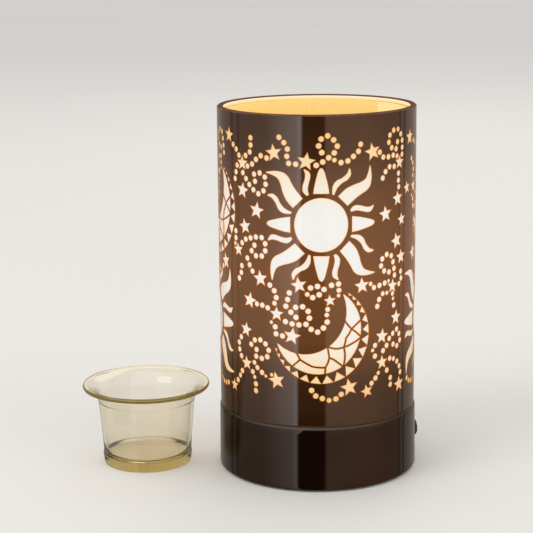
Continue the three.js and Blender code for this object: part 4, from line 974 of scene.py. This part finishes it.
def true_round(thing):
    """Gives a mirror-smooth wall the exact normals of its cylinder, so reflections run straight."""
    data = thing.data
    normals = []
    for polygon in data.polygons:
        for index in polygon.loop_indices:
            spot = data.vertices[data.loops[index].vertex_index].co
            out = Vector((spot.x, spot.y, 0)).normalized()
            facing = polygon.normal.dot(out)
            if abs(facing) > WALL_FACING:
                normals.append(math.copysign(1, facing) * out)
            else:
                normals.append(polygon.normal)
    data.normals_split_custom_set(normals)


def mirror():
    """The coating: a brown-grey mirror with a faint painted glow of the lamp's light through it."""
    material, tree, shader = finish("mirror coating", {"Metallic": 1.0, "Emission Strength": 1.0})
    smudge = cloud(tree, grain=30, detail=5)
    painted(tree, shader, "Base Color", smudge, (0.098, 0.084, 0.078), (0.116, 0.100, 0.092))
    roughened(tree, shader, smudge, 0.03, 0.08)
    coating_glow = tone(tree, shade_share(tree), *COATING_PAINTED_GLOW)
    tree.links.new(coating_glow, shader.inputs["Emission Color"])
    return material


def amber_line():
    """A painted glow of the lamp's light, amber, round each opening's edge in the coating."""
    material, tree, shader = finish("amber edge", {"Emission Strength": 1.0, "Roughness": 0.35})
    glow_mottle = cloud(tree, grain=2.5, detail=3)
    glow = tone(tree, glow_mottle, (NOISE_LOW, 0.78, 0.28, 0.045), (NOISE_HIGH, 1.0, 0.44, 0.09))
    lamp = tone(tree, shade_share(tree), *AMBER_LIGHT)
    tree.links.new(mixed(tree, glow, lamp, 1.0, "MULTIPLY"), shader.inputs["Emission Color"])
    painted(tree, shader, "Base Color", glow_mottle, (0.20, 0.07, 0.015), (0.30, 0.12, 0.03))
    return material


opened = openings()
skin = piece(
    "mirror_coating", coating_mesh(opened), mirror(), "shade", "mirror_skin", "mirror_skin")
true_round(skin)
amber = piece("amber_edges", amber_mesh(opened), amber_line(), "shade", "mirror_skin")
true_round(amber)


# The wax dish is pressed from clear glass: a thick foot band, a plain drum of a body and
# a flared, fire-polished lip that hangs it in the stand's ring.
DISH_CENTRE = -86.5
DISH_HEIGHT = 41.0
DISH_NECK_RADIUS = 24.5
DISH_RIM_RADIUS = 32.0
DISH_BAND_RADIUS = 22.6
DISH_FOOT_RADIUS = 21.9
DISH_BAND_HEIGHT = 5.0
DISH_FLOOR = 5.0
DISH_CORNER = 0.5
DISH_LIP = 2.2
DISH_FLARE_HEIGHT = 9.5
DISH_RUN_STEPS = 6
# Where the lip's painted golden glow starts, from the dish's axis, and its colour.
LIP_LIGHT_INSIDE = 30.0
LIP_LIGHT = (0.17, 0.12, 0.03)
# Its wall below the flare, as radius and height, and its flare, as shares of its reach and height.
WALL_OUTSIDE = ((22.1, 5.7), (23.4, 22.05))
WALL_INSIDE = ((21.2, 9.0), (19.2, 5.8), (15.82, 5.0))
FLARE_OUTSIDE = ((-0.03, 0), (0.10, 0.30), (0.34, 0.56), (0.70, 0.72), (0.93, 0.77))
FLARE_INSIDE = (
    (0.93, 0.99), (0.72, 0.97), (0.30, 0.82), (-0.03, 0.53), (-0.23, 0.15), (-0.29, -0.2))


def dish_mesh():
    flare = DISH_RIM_RADIUS - DISH_NECK_RADIUS
    neck = DISH_HEIGHT - DISH_FLARE_HEIGHT

    def curve(shares):
        return [(DISH_NECK_RADIUS + flare * a, neck + DISH_FLARE_HEIGHT * b) for a, b in shares]
    lip = (DISH_RIM_RADIUS, DISH_HEIGHT - DISH_LIP / 2)
    outside = fair([*WALL_OUTSIDE, *curve(FLARE_OUTSIDE), lip], DISH_RUN_STEPS)
    inside = fair([*curve(FLARE_INSIDE), *WALL_INSIDE], DISH_RUN_STEPS)
    mesh = turned([
        (0, 0, 0), (DISH_FOOT_RADIUS, 0, DISH_CORNER),
        (DISH_BAND_RADIUS, DISH_BAND_HEIGHT, DISH_CORNER),
        *((radius, height, 0) for radius, height in outside + inside), (0, DISH_FLOOR, 0)])
    bmesh.ops.translate(mesh, vec=(DISH_CENTRE, 0, 0), verts=mesh.verts)
    return mesh


def worked_out(tree, operation, first, second):
    """Arithmetic on two values, each a number or a socket."""
    return node(tree, "Math", {0: first, 1: second}, operation=operation).outputs["Value"]


def blended(tree, share, first, second):
    """One shader's output passing into another's by a share."""
    return node(tree, "MixShader", {0: share, 1: first, 2: second}).outputs["Shader"]


def from_dish_axis(tree):
    """How far a spot is from the dish's own upright axis."""
    level = node(tree, "Mapping", {
        "Vector": own_place(tree), "Location": (-DISH_CENTRE * MM, 0, 0), "Scale": (1, 1, 0)})
    return node(
        tree, "VectorMath", {0: level.outputs["Vector"]}, operation="LENGTH").outputs["Value"]


def pressed_glass():
    """Soda glass, olive where light runs along it, with a painted golden glow in the lip, where
    light gathers.
    Lamps reach the floor through it, and the drum mirrors almost nothing of it."""
    material, tree, shader = clear("pressed dish glass", (0.96, 0.93, 0.86), 1.5)
    output = tree.nodes["Material Output"]
    depth = node(tree, "VolumeAbsorption", {"Color": (0.80, 0.72, 0.44, 1), "Density": 80.0})
    tree.links.new(depth.outputs["Volume"], output.inputs["Volume"])
    path = node(tree, "LightPath", {}).outputs
    unbent = worked_out(tree, "LESS_THAN", path["Transmission Depth"], 0.5)
    mirrored = worked_out(tree, "MULTIPLY", path["Is Glossy Ray"], unbent)
    lets_by = worked_out(tree, "MAXIMUM", path["Is Shadow Ray"], mirrored)
    passing = node(tree, "BsdfTransparent", {"Color": (0.95, 0.93, 0.88, 1)})
    surface = blended(tree, lets_by, shader.outputs["BSDF"], passing.outputs["BSDF"])
    tree.links.new(surface, output.inputs["Surface"])
    gathered = between(
        tree, from_dish_axis(tree), 0, 1, LIP_LIGHT_INSIDE * MM, DISH_RIM_RADIUS * MM)
    painted(tree, shader, "Emission Color", gathered, (0, 0, 0), LIP_LIGHT, start=0.0, end=0.8)
    shader.inputs["Emission Strength"].default_value = 1.0
    return material


piece("wax_dish", dish_mesh(), pressed_glass(), "dish", "dish_glass", "glass_dish")


# The studio is a plain pale floor under soft light. The camera stands as the photograph's
# did, a little above the lamp and almost straight in front.
FLOOR_HALF = 9000.0
FLOOR_GAP = 0.05
IMAGE_WIDTH = 533
FOCAL_PIXELS = 1574.4
SENSOR_WIDTH = 36.0
CAMERA_DISTANCE = 764.7
CAMERA_HEIGHT = 263.6
CAMERA_PITCH = 12.046
CAMERA_YAW = 1.875
CAMERA_ROLL = -0.546

# What a mirror sees, at azimuths in degrees from the front towards the right.
PANORAMA = (
    (-180, 0.42, 0.36, 0.32), (-120, 0.42, 0.36, 0.32), (-118.6, 0.14, 0.11, 0.09),
    (-117, 0.14, 0.11, 0.09), (-115.5, 0.44, 0.37, 0.32), (-108, 0.44, 0.37, 0.32),
    (-106.6, 0.18, 0.14, 0.11), (-105, 0.18, 0.14, 0.11), (-103.5, 0.44, 0.36, 0.30),
    (-64, 0.50, 0.40, 0.33), (-27, 0.98, 0.94, 0.92), (-21.8, 1.35, 1.42, 1.45),
    (-20.6, 0.12, 0.055, 0.03), (9.0, 0.12, 0.055, 0.03), (10.4, 0.66, 0.47, 0.34),
    (60, 0.72, 0.47, 0.32), (108.5, 0.46, 0.33, 0.24), (110, 0.18, 0.13, 0.10),
    (111.5, 0.18, 0.13, 0.10), (113, 0.50, 0.42, 0.36), (118.5, 0.50, 0.42, 0.36),
    (119.6, 0.14, 0.11, 0.09), (121.4, 0.14, 0.11, 0.09), (122.8, 0.50, 0.42, 0.36),
    (180, 0.42, 0.36, 0.32),
)
# The same for what the drum's rolled shoulder sees overhead, the height of view at which it
# starts and is full, and its share there.
OVERHEAD = (
    (-180, 0.22, 0.19, 0.17), (-125, 0.28, 0.24, 0.22), (-70, 0.64, 0.61, 0.59),
    (-20, 0.76, 0.74, 0.72), (10, 0.70, 0.64, 0.60), (70, 0.56, 0.50, 0.46),
    (125, 0.28, 0.24, 0.22), (180, 0.22, 0.19, 0.17),
)
OVERHEAD_HEIGHTS = (0.05, 0.3)
OVERHEAD_SHARE = 0.85
# How bright the mirrors' surroundings are, from straight down to straight up.
LIFT = (
    (0.0, 0.5, 0.5, 0.5), (0.36, 0.82, 0.82, 0.82), (0.44, 1, 1, 1), (0.52, 1, 1, 1),
    (0.62, 1.7, 1.8, 1.9), (1.0, 2.3, 2.5, 2.6),
)
# The dark strip's left edge leans: how far it moves, in radians, between two heights of view,
# and the azimuths, in radians, over which the lean fades out.
STRIP_LEAN = (-0.035, 0.075)
LEAN_HEIGHTS = (-0.28, -0.13)
LEAN_SIDE = (-0.21, -0.05)
SOFT_STRENGTH = 0.78
# The soft lights: place and size in metres, power in watts, and colour.
LIGHTS = {
    "key_light": ((-1.1, -0.9, 1.5), 1.0, 9, (1, 0.98, 0.95)),
    "fill_light": ((1.3, -0.7, 1.0), 1.2, 4, (1, 0.98, 0.96)),
    "back_light": ((0.3, 1.4, 1.4), 1.0, 4, (1, 0.98, 0.96)),
}
LIGHTS_AIM = Vector((0, 0, 0.08))


def floor_material():
    material, tree, shader = finish("studio floor", {"Roughness": 0.9, "Specular IOR Level": 0.1})
    grain = cloud(tree, grain=900)
    painted(tree, shader, "Base Color", grain, (0.80, 0.79, 0.77), (0.82, 0.81, 0.79))
    return material


floor_mesh = bmesh.new()
bmesh.ops.create_grid(
    floor_mesh, x_segments=1, y_segments=1, size=FLOOR_HALF * MM,
    matrix=Matrix.Translation((0, 0, -FLOOR_GAP * MM)))
floor_data = bpy.data.meshes.new("studio_floor")
floor_mesh.to_mesh(floor_data)
floor_mesh.free()
floor_data.materials.append(floor_material())
floor = placed("studio_floor", floor_data)
floor.visible_glossy = False

for name, (place, size, power, colour) in LIGHTS.items():
    light = bpy.data.lights.new(name, "AREA")
    light.shape = "DISK"
    light.size = size
    light.energy = power
    light.color = colour
    lamp = placed(name, light)
    lamp.location = place
    lamp.rotation_euler = (LIGHTS_AIM - lamp.location).to_track_quat("-Z", "Y").to_euler()
    lamp.visible_glossy = False
    lamp.visible_camera = False


def studio_world():
    """Pale to the camera, soft on matt surfaces, and a ring of softboxes to the mirrors."""
    world = bpy.data.worlds.new("studio")
    world.use_nodes = True
    tree = world.node_tree
    tree.nodes.clear()
    direction = node(tree, "TexCoord", {}).outputs["Generated"]
    parts = node(tree, "SeparateXYZ", {"Vector": direction}).outputs
    height = parts["Z"]
    azimuth = worked_out(tree, "ARCTAN2", parts["X"], worked_out(tree, "MULTIPLY", parts["Y"], -1))
    lean = worked_out(
        tree, "MULTIPLY", between(tree, height, *STRIP_LEAN, *LEAN_HEIGHTS),
        between(tree, azimuth, 1, 0, *LEAN_SIDE))
    leaning = worked_out(tree, "SUBTRACT", azimuth, lean)

    def ring(angle, stops):
        share = between(tree, angle, 0, 1, -math.pi, math.pi)
        return tone(tree, share, *(((place + 180) / 360, *colour) for place, *colour in stops))
    lift = tone(tree, between(tree, height, 0, 1, -1, 1), *LIFT)
    overhead = between(tree, height, 0, OVERHEAD_SHARE, *OVERHEAD_HEIGHTS)
    lights = mixed(tree, ring(leaning, PANORAMA), ring(azimuth, OVERHEAD), overhead)
    seen = mixed(tree, lights, lift, 1.0, "MULTIPLY")

    def shown(colour, strength=1.0):
        return node(
            tree, "Background", {"Color": colour, "Strength": strength}).outputs["Background"]
    path = node(tree, "LightPath", {}).outputs
    direct = worked_out(tree, "MAXIMUM", path["Is Camera Ray"], path["Is Transmission Ray"])
    lit = blended(
        tree, path["Is Glossy Ray"], shown((1, 0.99, 0.97, 1), SOFT_STRENGTH), shown(seen))
    surface = blended(tree, direct, lit, shown((0.88, 0.87, 0.85, 1)))
    node(tree, "OutputWorld", {"Surface": surface})
    scene.world = world


studio_world()

camera_data = bpy.data.cameras.new("camera")
camera_data.sensor_width = SENSOR_WIDTH
camera_data.lens = FOCAL_PIXELS / IMAGE_WIDTH * SENSOR_WIDTH
camera = placed("camera", camera_data)
camera.matrix_world = (
    Matrix.Translation((0, -CAMERA_DISTANCE * MM, CAMERA_HEIGHT * MM))
    @ Matrix.Rotation(math.radians(CAMERA_YAW), 4, "Z")
    @ Matrix.Rotation(math.radians(90 - CAMERA_PITCH), 4, "X")
    @ Matrix.Rotation(math.radians(CAMERA_ROLL), 4, "Z"))
scene.camera = camera
scene.view_settings.view_transform = "Standard"
